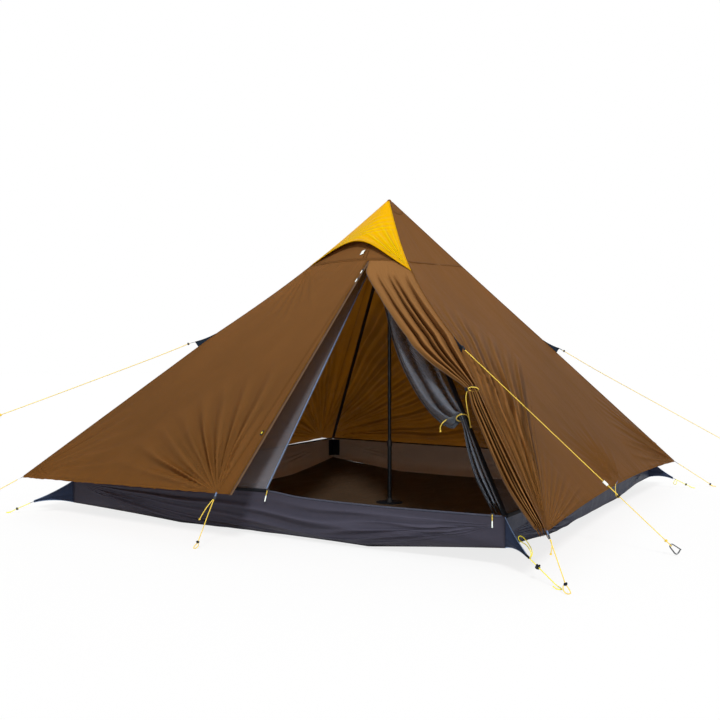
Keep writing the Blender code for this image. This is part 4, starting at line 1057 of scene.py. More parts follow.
def tube_mesh(name, points, radius, sides=8):
    """A round bar along points, closed at both ends: a grid rolled up. radius is a number or a function."""
    steps = len(points) - 1
    turns = path_turns(points)
    run = [0.0]
    for index in range(steps):
        run.append(run[-1] + (points[index + 1] - points[index]).length)
    wide = radius if callable(radius) else lambda place: radius
    shape = bmesh.new()
    bmesh.ops.create_grid(shape, x_segments=sides, y_segments=steps, size=0.5)
    uv = shape.loops.layers.uv.new("cloth")
    for face in shape.faces:
        for loop in face.loops:
            loop[uv].uv = (loop.vert.co.x + 0.5, run[round((loop.vert.co.y + 0.5) * steps)])
    for vertex in shape.verts:
        turn, place = (vertex.co.x + 0.5) * 2 * pi, round((vertex.co.y + 0.5) * steps)
        ring = wide(place / steps)
        vertex.co = turns[place] @ Vector((cos(turn) * ring, sin(turn) * ring, 0))
    bmesh.ops.remove_doubles(shape, verts=shape.verts, dist=wide(0.5) * 0.02)
    bmesh.ops.holes_fill(shape, edges=[edge for edge in shape.edges if edge.is_boundary], sides=sides)
    bmesh.ops.recalc_face_normals(shape, faces=shape.faces)
    return finished_mesh(shape, name)


def place_tube(name, points, radius, finish, sides=8, body="tent", replaces=()):
    return place_piece(tube_mesh(name, points, radius, sides), name, finish, body, replaces)


def place_ring(name, points, radius, finish, sides=8):
    """A ring or knot: a tube whose end meets its start."""
    return place_tube(name, points + [points[0]], radius, finish, sides)


def route_points(route, step):
    """Evenly spaced points on the smooth curve through a route's own points."""
    knots = [Vector(point) for point in route]
    fine = 12
    dense = []
    for index in range(len(knots) - 1):
        start, end = knots[index], knots[index + 1]
        leave = (end - knots[max(index - 1, 0)]) / 2
        arrive = (knots[min(index + 2, len(knots) - 1)] - start) / 2
        dense += [blend(start, end, leave, arrive, part / fine) for part in range(fine)]
    dense.append(knots[-1])
    run = [0]
    for index in range(1, len(dense)):
        run.append(run[-1] + (dense[index] - dense[index - 1]).length)
    steps = max(8, round(run[-1] / step))
    points = []
    row = 1
    for index in range(steps + 1):
        want = run[-1] * index / steps
        while row < len(dense) - 1 and run[row] < want:
            row += 1
        points.append(dense[row - 1].lerp(dense[row], (want - run[row - 1]) / (run[row] - run[row - 1])))
    return points


def add_cord(name, route, finish, replaces=(), diameter=cord_diameter):
    """A free cord along its route."""
    points = route_points(route, 2.5 * diameter)
    item = place_tube(name, points, diameter / 2, finish, replaces=replaces)
    return item


def knot(name, place, way, size, finish):
    """A tight overhand knot: a cord wound three times through its own ring."""
    turn = path_turns([place, place + way])[0]
    points = []
    for step in range(60):
        angle = 2 * pi * step / 60
        ring = size * (0.55 + 0.3 * cos(3 * angle))
        points.append(turn @ Vector((ring * cos(2 * angle), ring * sin(2 * angle), size * 0.5 * sin(3 * angle))))
    return place_ring(name, points, size * 0.3, finish, 6)


def ring_points(place, way, radius, count=24, stretch=1.0):
    turn = path_turns([place, place + way])[0]
    return [turn @ Vector((radius * cos(2 * pi * step / count), radius * stretch * sin(2 * pi * step / count), 0))
            for step in range(count)]


def tape(name, line, beside, width, lift, finish, count=60, thickness=0.0008):
    """A sewn tape: line(share) is its middle, beside the way across it and lift how far it stands off."""
    def surface(across, down):
        return line(down) + beside * (across - 0.5) * width + lift
    return sewn_sheet(name, surface, (2, count), thickness, finish, side=0.0)


# Operators
class TENT_OT_stage(bpy.types.Operator):
    """Set up the pale floor, the soft light and the camera at the photograph's angle"""
    bl_idname = "tent.stage"
    bl_label = "Stage"

    def execute(self, context):
        scene = context.scene
        scene.view_settings.view_transform = "Standard"
        shape = bmesh.new()
        bmesh.ops.create_grid(shape, x_segments=1, y_segments=1, size=60)
        mesh = finished_mesh(shape, "studio_floor")
        mesh.materials.append(finishes["ground"])
        ground = bpy.data.objects.new("studio_floor", mesh)
        ground.location.z = -0.001
        scene.collection.objects.link(ground)
        suns = (("key", 2.6, 9, (0.45, -0.64, 0.62)), ("back", 0.35, 60, (-0.1, 0.8, 0.55)),
                ("fill", 0.8, 60, (0.42, -0.86, 0.22)))
        for name, energy, spread, way in suns:
            sun = bpy.data.lights.new(name, "SUN")
            sun.energy, sun.angle = energy, radians(spread)
            light = bpy.data.objects.new(name, sun)
            light.matrix_world = Vector(way).to_track_quat("Z", "Y").to_matrix().to_4x4()
            scene.collection.objects.link(light)
        self.light_world(scene)
        self.add_camera(scene)
        return {"FINISHED"}

    def light_world(self, scene):
        """Soft light from all round, and white to the camera, gloss and glass."""
        world = bpy.data.worlds.new("studio")
        scene.world = world
        world.use_nodes = True
        nodes, links = world.node_tree.nodes, world.node_tree.links
        nodes.clear()
        path = nodes.new("ShaderNodeLightPath")
        seen = nodes.new("ShaderNodeMath")
        seen.operation = "MAXIMUM"
        either = nodes.new("ShaderNodeMath")
        either.operation = "MAXIMUM"
        links.new(path.outputs["Is Camera Ray"], seen.inputs[0])
        links.new(path.outputs["Is Glossy Ray"], seen.inputs[1])
        links.new(seen.outputs[0], either.inputs[0])
        links.new(path.outputs["Is Transmission Ray"], either.inputs[1])
        soft, white = nodes.new("ShaderNodeBackground"), nodes.new("ShaderNodeBackground")
        for each, strength in ((soft, 0.45), (white, 1.0)):
            each.inputs["Color"].default_value = (1, 1, 1, 1)
            each.inputs["Strength"].default_value = strength
        both, out = nodes.new("ShaderNodeMixShader"), nodes.new("ShaderNodeOutputWorld")
        links.new(either.outputs[0], both.inputs[0])
        links.new(soft.outputs[0], both.inputs[1])
        links.new(white.outputs[0], both.inputs[2])
        links.new(both.outputs[0], out.inputs["Surface"])

    def add_camera(self, scene):
        camera = bpy.data.cameras.new("camera")
        ahead = Vector((-0.5109, 0.8592, 0.0286)).normalized()
        right = Vector((0.8596, 0.511, 0)).normalized()
        over = right.cross(ahead)
        focal_pixels, centre_pixels = 809.04, (365.48, 343.47)
        camera.sensor_width = 36
        camera.lens = focal_pixels * camera.sensor_width / frame_pixels
        camera.shift_x = -(centre_pixels[0] - frame_pixels / 2) / frame_pixels
        camera.shift_y = (centre_pixels[1] - frame_pixels / 2) / frame_pixels
        item = bpy.data.objects.new("camera", camera)
        turn = Matrix((right, over, -ahead)).transposed().to_4x4()
        item.matrix_world = Matrix.Translation((2.331, -4.1991, 0.8019)) @ turn
        scene.collection.objects.link(item)
        scene.camera = item


guy_start, guy_end = (Vector(point) for point in ROUTES["guy_front_right"])
guy_way = (guy_end - guy_start).normalized()
guy_knot = guy_start.lerp(guy_end, 0.762)


def route_knot(node, at, run_end, size, finish):
    """A knot on a cord's route, at one of its points and along the run that ends at another."""
    route = [Vector(point) for point in ROUTES[node]]
    return knot(node + "_knot", route[at], route[run_end] - route[run_end - 1], size, finish)


class TENT_OT_cords(bpy.types.Operator):
    """Lay every free cord, with the knots and loops that ride on it"""
    bl_idname = "tent.cords"
    bl_label = "Cords"

    def execute(self, context):
        stop = knot("guy_knot", guy_knot, guy_way, 0.008, "black_cord")
        eye = knot("guy_eye_knot", guy_end - guy_way * 0.022, guy_way, 0.0065, "cord")
        ring = ring_points(guy_end + guy_way * 0.003, Vector((-guy_way.z, 0, guy_way.x)), 0.0058)
        loop = place_ring("guy_link_loop", ring, 0.0019, "cord")
        add_cord("guy_front_right_line", ROUTES["guy_front_right"], "cord", ("guy_front_right",))
        side = Vector((0.511, -0.8596, 0)) * 0.0065
        start = guy_start.lerp(guy_end, 0.712)
        second = [start + side * 0.75, start.lerp(guy_knot, 0.35) + side, start.lerp(guy_knot, 0.75) + side * 0.9,
                  guy_knot + side * 0.6]
        add_cord("guy_return_strand", second, "cord")
        for name in ("guy_front_left", "guy_back_right"):
            first, second = Vector(ROUTES[name][0]), Vector(ROUTES[name][1])
            tie = route_knot(name, 4, 4, 0.0075, "cord")
            start = knot(name + "_start_knot", first + (second - first).normalized() * 0.012, second - first, 0.007,
                         "black_cord")
            add_cord(name + "_line", ROUTES[name], "cord", (name,))
        for name in ("front_left", "door_foot", "front_right", "back_right"):
            node = "peg_cord_" + name
            tie = route_knot(node, 4, 4, 0.0072, "black_cord")
            add_cord(node + "_line", ROUTES[node], "cord", (node,))
        for name in ("front_left", "front_right", "back_right"):
            node = "tub_cord_" + name
            at, size = (1, 0.0105) if name == "front_right" else (2, 0.0075)
            tie = route_knot(node, at, 2, size, "black_cord")
            add_cord(node + "_line", ROUTES[node], "tub_cord", (node,))
        for name, route in TAILS.items():
            end = knot(name + "_end", Vector(route[-1]), Vector(route[-1]) - Vector(route[-2]), 0.0042, "cord")
            add_cord(name, route, "cord", diameter=fine_cord)
        self.tub_loops()
        return {"FINISHED"}

    def tub_loops(self):
        """The slack eyes that are left in the tub's corner cords."""
        route = ((1.2915, -1.234, 0.08), (1.301, -1.24, 0.09), (1.302, -1.24, 0.106),
                 (1.29, -1.233, 0.125), (1.268, -1.22, 0.144), (1.247, -1.208, 0.152),
                 (1.234, -1.2, 0.146), (1.236, -1.201, 0.135), (1.252, -1.21, 0.129),
                 (1.275, -1.227, 0.124), (1.295, -1.241, 0.108), (1.299, -1.243, 0.093),
                 (1.293, -1.238, 0.081))
        add_cord("tub_front_right_eye", route, "tub_cord", diameter=fine_cord)
        route = ((1.351, 1.456, 0.06), (1.344, 1.45, 0.048), (1.338, 1.444, 0.036),
                 (1.343, 1.442, 0.027), (1.353, 1.446, 0.028), (1.358, 1.453, 0.038),
                 (1.355, 1.458, 0.05))
        add_cord("tub_back_right_eye", route, "tub_cord", diameter=fine_cord)


class TENT_OT_fly(bpy.types.Operator):
    """Cut the five fly panels, with the folds that each corner and tie-out draws"""
    bl_idname = "tent.fly"
    bl_label = "Fly panels"

    def execute(self, context):
        sizes = context.scene.tent_sizes
        depth, slack, pucker = sizes.fold_depth, sizes.crinkle_depth, sizes.pucker_depth
        corner = {name: corner_point(name) for name in CORNERS}
        right = side_panel("front_right", "back_right")
        fans = [
            fan(corner["front_right"], right(0.03, 0.6), right(0.44, 0.6), 9, 0.07, 1.75, depth * 1.15, 1.0, 1.0),
            fan(ridge_point("front_right", 0.56), right(0.02, 0.95), right(0.35, 0.75), 7, 0.03, 0.4,
                depth * 0.35, 2.0),
            fan(right(0.45, 1.0), right(0.05, 0.86), right(0.85, 0.86), 11, 0.03, 0.55, depth * 0.55, 3.0),
            fan(corner["back_right"], right(0.7, 0.99), right(0.9, 0.3), 6, 0.06, 1.0, depth * 0.6, 4.0),
        ]
        waves = [crinkle(slack, 6, 3, 1.0), hem_pucker(pucker, 2.3, 1.5)]
        panels = [("fly_right_panel", right, (230, 190), relief(fans, waves), 1.5)]
        back = side_panel("back_right", "back_left", 0)
        fans = [
            fan(corner["back_left"], back(0.2, 0.99), back(0.8, 0.1), 7, 0.08, 2.1, depth * 0.9, 5.0, 1.0),
            fan(corner["back_right"], back(0.1, 0.3), back(0.8, 0.99), 6, 0.08, 1.6, depth * 0.8, 6.0),
            fan(back(0.5, 1.0), back(0.1, 0.86), back(0.9, 0.86), 9, 0.03, 0.6, depth * 0.5, 7.0),
        ]
        panels.append(("fly_back_panel", back, (170, 120),
                       relief(fans, [crinkle(slack, 5, 3, 9.0), hem_pucker(pucker, 2.3, 2.5)]), 1.0))
        left = side_panel("back_left", "front_left", -0.028)
        fans = [
            fan(corner["front_left"], left(0.3, 0.99), left(0.97, 0.3), 7, 0.08, 1.3, depth * 0.8, 8.0),
            fan(corner["back_left"], left(0.03, 0.3), left(0.7, 0.99), 6, 0.08, 1.4, depth * 0.8, 11.0),
            fan(left(0.5, 1.0), left(0.1, 0.86), left(0.9, 0.86), 9, 0.03, 0.6, depth * 0.5, 12.0),
        ]
        panels.append(("fly_left_panel", left, (150, 110),
                       relief(fans, [crinkle(slack, 5, 3, 13.0), hem_pucker(pucker, 2.3, 3.5)]), 1.0))
        fans = [
            fan(door_foot, closed_half(0.995, 0.4), closed_half(0.3, 0.96), 12, 0.05, 0.95, depth * 0.75, 14.0),
            fan(corner["front_left"], closed_half(0.9, 0.985), closed_half(0.04, 0.4), 6, 0.05, 0.75,
                depth * 0.45, 15.0),
            fan(seam_point(0.02), closed_half(0.03, 0.6), closed_half(0.95, 0.25), 7, 0.03, 0.7,
                depth * 0.3, 16.0),
        ]
        panels.append(("fly_front_left_panel", closed_half, (200, 150),
                       relief(fans, [crinkle(slack * 0.7, 5, 4, 17.0), hem_pucker(pucker, 1.6, 4.5),
                                     seam_pucker(pucker * 2, 1.6, 18.0)]), 1.0))
        top = front_band(0, 0, 0, seam_side_share)
        panels.append(("fly_front_top_panel", top, (60, 40), relief([], [crinkle(slack * 0.5, 4, 3, 21.0)]), 1.0))
        own = {"fly_right_panel": "fly_right", "fly_back_panel": "fly_back", "fly_left_panel": "fly_back"}
        for name, surface, counts, height, dense in panels:
            finish = own.get(name, "fly")
            item = sewn_sheet(name + "_cloth", surface, counts, cloth * 0.6, finish, height, (name,), dense)
            declare_panel(surface)
        return {"FINISHED"}


def declare_panel(surface):
    """Work out a panel's top, hem and length from its own edges; nothing more is done with them."""
    top = (surface(1, 0) - surface(0, 0)).length
    hem = (surface(1, 1) - surface(0, 1)).length
    long = ((surface(0, 1) + surface(1, 1) - surface(0, 0) - surface(1, 0)) / 2).length


class TENT_OT_seams(bpy.types.Operator):
    """Run the felled seams down the ridges and across the panels"""
    bl_idname = "tent.seams"
    bl_label = "Fly seams"

    def execute(self, context):
        width = context.scene.tent_sizes.seam_width
        for index, name in enumerate(CORNERS):
            before, after = CORNERS[index - 1], CORNERS[(index + 1) % len(CORNERS)]
            self.ridge(name, before, after, width)
        for name, ends in PANEL_ENDS.items():
            panel = side_panel(*ends)

            def surface(across, down, panel=panel):
                point = panel(0.004 + down * 0.992, seam_row / ridge_rows + (across - 0.5) * width / 2.3)
                return point - inward(point) * 0.0011
            sewn_sheet(f"fly_{name}_cross_seam", surface, (2, 60), 0.0007, "fly", side=0.0)

        def under_hood(across, down):
            return seam_point(0.004 + down * 0.992) + front_down * (across - 0.5) * width + front_out * 0.0011
        sewn_sheet("fly_front_cross_seam", under_hood, (2, 60), 0.0007, "fly", side=0.0)
        return {"FINISHED"}

    def ridge(self, name, before, after, width):
        """A seam folded over one ridge."""
        def surface(across, down):
            share = top_share + (0.996 - top_share) * down
            if name == "front_right" and share > seam_side_share:
                return self.beside_door(across, share, width)
            point = ridge_point(name, share)
            other = before if across < 0.5 else after
            toward = (ridge_point(other, share) - point).normalized()
            crest = -inward(point) * 0.6 + up * 0.8
            return point + toward * abs(across - 0.5) * width + crest * 0.0012
        sewn_sheet("fly_ridge_seam_" + name, surface, (4, 150), 0.0008, "fly", side=0.0)

    def beside_door(self, across, share, width):
        """The right ridge below the hood: the seam lies flat on the right panel."""
        point = ridge_point("front_right", share)
        toward = (ridge_point("back_right", share) - point).normalized()
        out = Vector((0.6, -0.35, 0.6)).normalized()
        return point + toward * (across - 0.25) * width + out * 0.0012


class TENT_OT_hood(bpy.types.Operator):
    """Make the yellow vent hood with its turned hem, the net window behind it and the blank tag"""
    bl_idname = "tent.hood"
    bl_label = "Vent hood"

    def execute(self, context):
        sizes = context.scene.tent_sizes
        surface = front_band(hood_lift, hood_bow, hood_arch_share, hood_end_share)
        fans = [fan(surface(0.98, 0.98), surface(0.6, 0.7), surface(0.8, 0.2), 4, 0.03, 0.35, 0.004, 31.0),
                fan(surface(0.02, 0.98), surface(0.1, 0.5), surface(0.5, 0.75), 4, 0.03, 0.35, 0.004, 32.0)]
        height = relief(fans, [crinkle(0.003, 3, 3, 33.0)])
        item = sewn_sheet("hood_cloth", surface, (90, 60), 0.0012, "hood", height, ("hood",))
        declare_panel(surface)

        def hem(across, down):
            return surface(0.006 + across * 0.988, 1 - 0.075 * (1 - down)) + front_out * 0.0016
        sewn_sheet("hood_hem", hem, (90, 4), 0.0008, "hood", side=0.0)
        band = front_band(0.0015, 0, 0, seam_side_share)

        def window(across, down):
            turn = pi * across
            middle = band(0.5, 0.62)
            edge = band(0.5 - 0.2 * cos(turn), 0.62 - 0.24 * sin(turn))
            return middle.lerp(edge, 1 - down * 0.98)
        sewn_sheet("vent_net", window, (28, 8), 0.0006, "net_full", side=0.0)
        rim = [window(step / 28, 0) for step in range(29)]
        rim += [rim[-1].lerp(rim[0], step / 8) for step in range(1, 8)]
        place_ring("vent_rim", rim, 0.0025, "fly", 6)
        place = band(0.56, 0.885)
        tag_side = Vector((0.93, 0.1, 0.35)).normalized()

        def tag(across, down):
            return place + tag_side * (across - 0.5) * 0.022 + front_down * (down - 0.5) * 0.034 + front_out * 0.003
        # The blank tag takes the zip pulls' finish, whose emission is painted light on the tag.
        sewn_sheet("care_tag_blank", tag, (4, 6), 0.0006, "pull", side=0.0)
        for offset in (0.085, 0.115):
            start = band(0.5 + offset, 0.55)
            end = band(0.5 + offset * 1.05, 0.97)

            def strap(down, start=start, end=end):
                return start.lerp(end, down)
            tape(f"vent_strap_{round(offset * 1000)}", strap, east, 0.008, front_out * 0.0012, "fly", 12)
        return {"FINISHED"}


class TENT_OT_door(bpy.types.Operator):
    """Gather the fly door to its ridge, with its storm flap, zip tapes and tie"""
    bl_idname = "tent.door"
    bl_label = "Fly door"

    def execute(self, context):
        item = sewn_sheet("fly_door_cloth", gathered_door, (150, 150), 0.0006, "door", self.soft_folds,
                          ("fly_door_gathered",))
        top = (seam_point(1) - seam_point(door_split_share)).length
        long = (zip_point(1) - zip_point(0)).length
        item = sewn_sheet("storm_flap_cloth", storm_flap, (10, 120), 0.0014, "fly", self.flap_waves,
                          ("storm_flap",))
        self.zips(context)
        self.tie()
        return {"FINISHED"}

    def soft_folds(self, across, down, point):
        return 0.003 * noise.noise(Vector((across * 22, down * 5, 41.0))) * ease(down, 0, 0.1)

    def flap_waves(self, across, down, point):
        return across * (0.003 + 0.004 * noise.noise(Vector((0.0, down * 14, 43.0))))

    def zips(self, context):
        """The coil on the flap's edge, the coil on the door's free edge, and the tape behind."""
        behind = front_out * -0.002

        def closed_side(down):
            return zip_point(down) + east * 0.0012 + behind
        points = [closed_side(step / 160) for step in range(161)]
        place_tube("fly_zip_coil", points, 0.0016, "zip", 6)
        tape("fly_zip_tape", closed_side, east, 0.02, behind, "zip", 120, 0.0006)
        points = [gathered_door(0.0, 0.02 + 0.978 * step / 200) for step in range(201)]
        place_tube("fly_door_zip_coil", points, 0.0022, "zip", 6)

    def tie(self):
        """The cord round the gathered door, with its toggle knot and its loop."""
        place = Vector((0.94, -0.945, 0.698))
        way = (ridge_point("front_right", 0.72) - ridge_point("front_right", 0.65)).normalized()
        middle = ridge_point("front_right", tie_share).lerp(
            centre_point(tie_share).lerp(ridge_point("front_right", tie_share),
                                         smooth(DOOR_OPEN_SHARES, tie_share)), 0.5)
        points = ring_points(middle, way, 0.024, 32, 0.8)
        place_ring("fly_tie_band", points, 0.0018, "black_cord")
        knot("fly_tie_knot", Vector((0.905, -0.933, 0.703)), way, 0.01, "black_cord")
        loop = [place + Vector((0.02 * cos(t), 0.008 * cos(t) - 0.01 * sin(t), 0.01 * sin(t) + 0.006))
                for t in (2 * pi * step / 24 for step in range(24))]
        place_ring("fly_tie_loop", loop, 0.0019, "cord")


class TENT_OT_fittings(bpy.types.Operator):
    """Sew on the ridge fins, corner loops, line locks, tabs and the apex cap"""
    bl_idname = "tent.fittings"
    bl_label = "Fins and locks"

    def execute(self, context):
        for name in CORNERS:
            self.fin(name)
        for name in ("front_left", "front_right", "back_right", "door_foot"):
            self.line_lock(name)
        self.cap()
        self.tabs()
        return {"FINISHED"}

    def fin(self, name):
        """A stiff triangle on a ridge, bound along its free edges, with a webbing tail."""
        share = FIN_SHARES[name]
        base = level(corner_point(name)).normalized()
        top, foot = ridge_point(name, share), ridge_point(name, share + fin_span_share)
        run = (foot - top).normalized()
        out = (base * -run.z + up * run.dot(base)).normalized()
        if out.z < 0:
            out = -out
        tip = top + run * fin_reach + out * fin_stand
        away = (run * FIN_TAIL_SHARES[name] + out * (1 - FIN_TAIL_SHARES[name])).normalized()
        heel = top + run * (fin_reach + 0.002)

        def surface(across, down):
            edge = top.lerp(tip, across) + out * -0.004 * bulge(across)
            return edge.lerp(top.lerp(heel, across), down)
        sewn_sheet(f"ridge_fin_{name}_cloth", surface, (16, 6), 0.0022, "fin",
                   replaces=("ridge_fin_" + name,), side=0.0)
        edge = [surface(step / 16, 0) for step in range(17)]
        place_tube(f"ridge_fin_{name}_binding", edge, 0.0022, "webbing", 6)
        tape(f"ridge_fin_{name}_tail", lambda down: tip - away * 0.012 + away * (fin_tail + 0.012) * down,
             run.cross(out), 0.01, Vector(), "webbing", 10, 0.0018)

    def line_lock(self, name):
        """A ladder buckle: two side rails and the bars between three slots, on a loop of tape."""
        node = "line_lock_" + name
        low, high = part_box(node)
        middle = (low + high) / 2
        start = door_foot if name == "door_foot" else corner_point(name)
        way = (middle - start).normalized()
        face = front_out if name == "door_foot" else way.cross(up).cross(way)
        wide = face.cross(way).normalized()
        turn = Matrix.Translation(middle) @ Matrix((wide, way.cross(wide), way)).transposed().to_4x4()
        shape = bmesh.new()
        bmesh.ops.create_grid(shape, x_segments=5, y_segments=7, size=0.5)
        cells = [(cell, cell.calc_center_median()) for cell in shape.faces]
        holes = [cell for cell, centre in cells
                 if abs(centre.x) < 0.31 and round((centre.y + 0.5) * 7 - 0.5) in (1, 3, 5)]
        bmesh.ops.delete(shape, geom=holes, context="FACES")
        for vertex in shape.verts:
            vertex.co = Vector((vertex.co.x * 0.015, 0.0012 * cos(pi * vertex.co.y), vertex.co.y * 0.026))
        bmesh.ops.solidify(shape, geom=shape.faces, thickness=0.0038)
        bmesh.ops.recalc_face_normals(shape, faces=shape.faces)
        bmesh.ops.transform(shape, matrix=turn @ Matrix.Translation((0, -0.0015, 0)), verts=shape.verts)
        item = place_piece(finished_mesh(shape, node + "_buckle"), node + "_buckle", "plastic",
                           replaces=(node,))
        bevel = item.modifiers.new("edges", "BEVEL")
        bevel.width, bevel.segments, bevel.limit_method = 0.0006, 2, "ANGLE"
        tape(node + "_loop", lambda down: start - way * 0.004 + (middle - start + way * 0.002) * down,
             wide, 0.009, Vector(), "edging", 6, 0.0012)

    def cap(self):
        """The reinforced tip of the fly, with its bound edges."""
        shape = bmesh.new()
        bmesh.ops.create_cone(shape, cap_ends=True, segments=4, radius1=cap_base_half * sqrt(2),
                              radius2=cap_top_half * sqrt(2), depth=cap_height)
        bmesh.ops.bevel(shape, geom=shape.edges[:], offset=0.0014, segments=2, affect="EDGES", profile=0.5,
                        material=-1)
        low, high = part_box("apex_cap")
        bmesh.ops.transform(shape, matrix=Matrix.Translation(up * (low.z + high.z) / 2)
                            @ Matrix.Rotation(pi / 4, 4, "Z"), verts=shape.verts)
        place_piece(finished_mesh(shape, "apex_patch"), "apex_patch", "fly", replaces=("apex_cap",))
        for side, ends in PANEL_ENDS.items():
            panel = side_panel(*ends)

            def surface(across, down, panel=panel):
                point = panel(0.01 + across * 0.98, 0.004 + down * (0.03 + 0.012 * bulge(across)))
                return point - inward(point) * 0.0012
            sewn_sheet(f"apex_reinforcement_{side}", surface, (10, 10), 0.0008, "fly", side=0.0)

    def tabs(self):
        """The pull tabs on the flap and at the middle of the right hem."""
        place = zip_point(0.785) + Vector((-0.012, -0.004, 0.004))
        tape("flap_tab", lambda down: place + front_down * (down - 0.5) * 0.028, east, 0.012,
             front_out * 0.004, "webbing", 8, 0.0016)
        tape("flap_tab_thread", lambda down: place + front_down * (down - 0.5) * 0.012, east, 0.005,
             front_out * 0.0054, "tub_cord", 4)
        hem = side_panel("front_right", "back_right")(0.452, 0.992)
        end = Vector(TAILS["side_tie_cord"][0])
        tape("side_tie_tab", lambda down: hem.lerp(end, down), Vector((0.1, 1, 0)).normalized(), 0.012,
             Vector((0.002, 0, 0)), "edging", 8, 0.0014)


class TENT_OT_inner(bpy.types.Operator):
    """Hang the net walls and the gathered net door, with their bindings, zips and ties"""
    bl_idname = "tent.inner"
    bl_label = "Inner tent"

    def execute(self, context):
        for side, ends in PANEL_ENDS.items():
            name = f"inner_{side}_mesh"
            surface = net_wall(*ends, 0, 1, net_margin)
            height = relief([], [crinkle(0.006, 5, 2, len(name))])
            item = sewn_sheet(name + "_net", surface, (60, 50), 0.0006, "net", height, (name,))
            declare_panel(surface)
        surface = net_wall("front_left", "front_right", 0, inner_split_share, 0)
        height = relief([], [crinkle(0.005, 4, 2, 61.0)])
        item = sewn_sheet("inner_front_net", surface, (60, 70), 0.0006, "net_front", height,
                          ("inner_front_mesh",))
        declare_panel(surface)
        item = sewn_sheet("inner_door_net", inner_door, (130, 140), 0.0005, "net_full", None,
                          ("inner_door_gathered",))
        split = wall_top("front_left", "front_right", inner_split_share)
        sill = (wall_top("front_left", "front_right", 1) - split).length
        along = (inner_centre(1) - inner_ridge("front_right", 1)).normalized()
        long = (inner_apex - inner_ridge("front_right", 1)).cross(along).length
        self.bindings(context.scene.tent_sizes.binding_width)
        self.tie()
        return {"FINISHED"}

    def bindings(self, width):
        """Tapes over the corner seams, the door edge and the tub's rim."""
        for name in CORNERS:
            beside = (-inward(inner_ridge(name, 1))).cross(up).normalized()
            tape("inner_ridge_tape_" + name, lambda down, name=name: inner_ridge(name, 0.024 + 0.972 * down),
                 beside, width * 1.35, Vector(), "binding", 60, 0.004)
        out = -inward(inner_centre(1))
        tape("inner_door_edge_tape", lambda down: inner_centre(0.03 + 0.962 * down), east, 0.007,
             out * 0.0016 - east * 0.006, "edging")
        points = [inner_door(0.0, 0.01 + 0.985 * step / 160) for step in range(161)]
        place_tube("inner_door_coil", points, 0.0016, "net_zip", 6)
        for name in CORNERS:
            end = inner_split_share if name == "front_left" else 0.995
            self.rim(name, next_corner(name), 0.004, end, "binding", width)
        self.rim("front_left", "front_right", inner_split_share + 0.004, 0.995, "sill", width * 0.5)
        ring = ring_points(inner_apex - up * 0.03, up, 0.03, 32)
        place_ring("inner_top_ring", ring, 0.003, "webbing")
        for index in range(4):
            turn = index * pi / 2 + pi / 4
            foot = inner_apex - up * 0.029 + Vector((cos(turn), sin(turn), 0)) * 0.03
            head = up * 1.728 + Vector((cos(turn), sin(turn), 0)) * 0.0165
            way = Vector((-sin(turn), cos(turn), 0))
            tape(f"inner_top_strap_{index}", lambda down, foot=foot, head=head: foot.lerp(head, down), way, 0.01,
                 Vector(), "webbing", 8)

    def rim(self, first, second, start, end, finish, width):
        """A tape along part of a tub wall's top edge."""
        def middle(down):
            return wall_top(first, second, start + (end - start) * down)
        out = -inward((tub_corner(first).to_3d() + tub_corner(second).to_3d()) / 2)
        side = "sill" if finish == "sill" else "rim"
        tape(f"tub_{side}_tape_{first}", middle, up, width, out * 0.0012 + up * width * 0.1, finish,
             90, 0.0009)

    def tie(self):
        """The cord that holds the gathered net door to the ridge."""
        way = (inner_ridge("front_right", 0.78) - inner_ridge("front_right", 0.7)).normalized()
        middle = inner_ridge("front_right", inner_tie_share).lerp(inner_centre(0.745).lerp(
            inner_ridge("front_right", 0.745), 0.962), 0.5)
        place_ring("inner_tie_band", ring_points(middle, way, 0.027, 32, 0.8), 0.0019, "cord")
        knot("inner_tie_knot", Vector((0.838, -0.868, 0.583)), way, 0.0085, "black_cord")
        knot("inner_tie_bead", Vector((0.846, -0.868, 0.588)), way, 0.006, "cord")


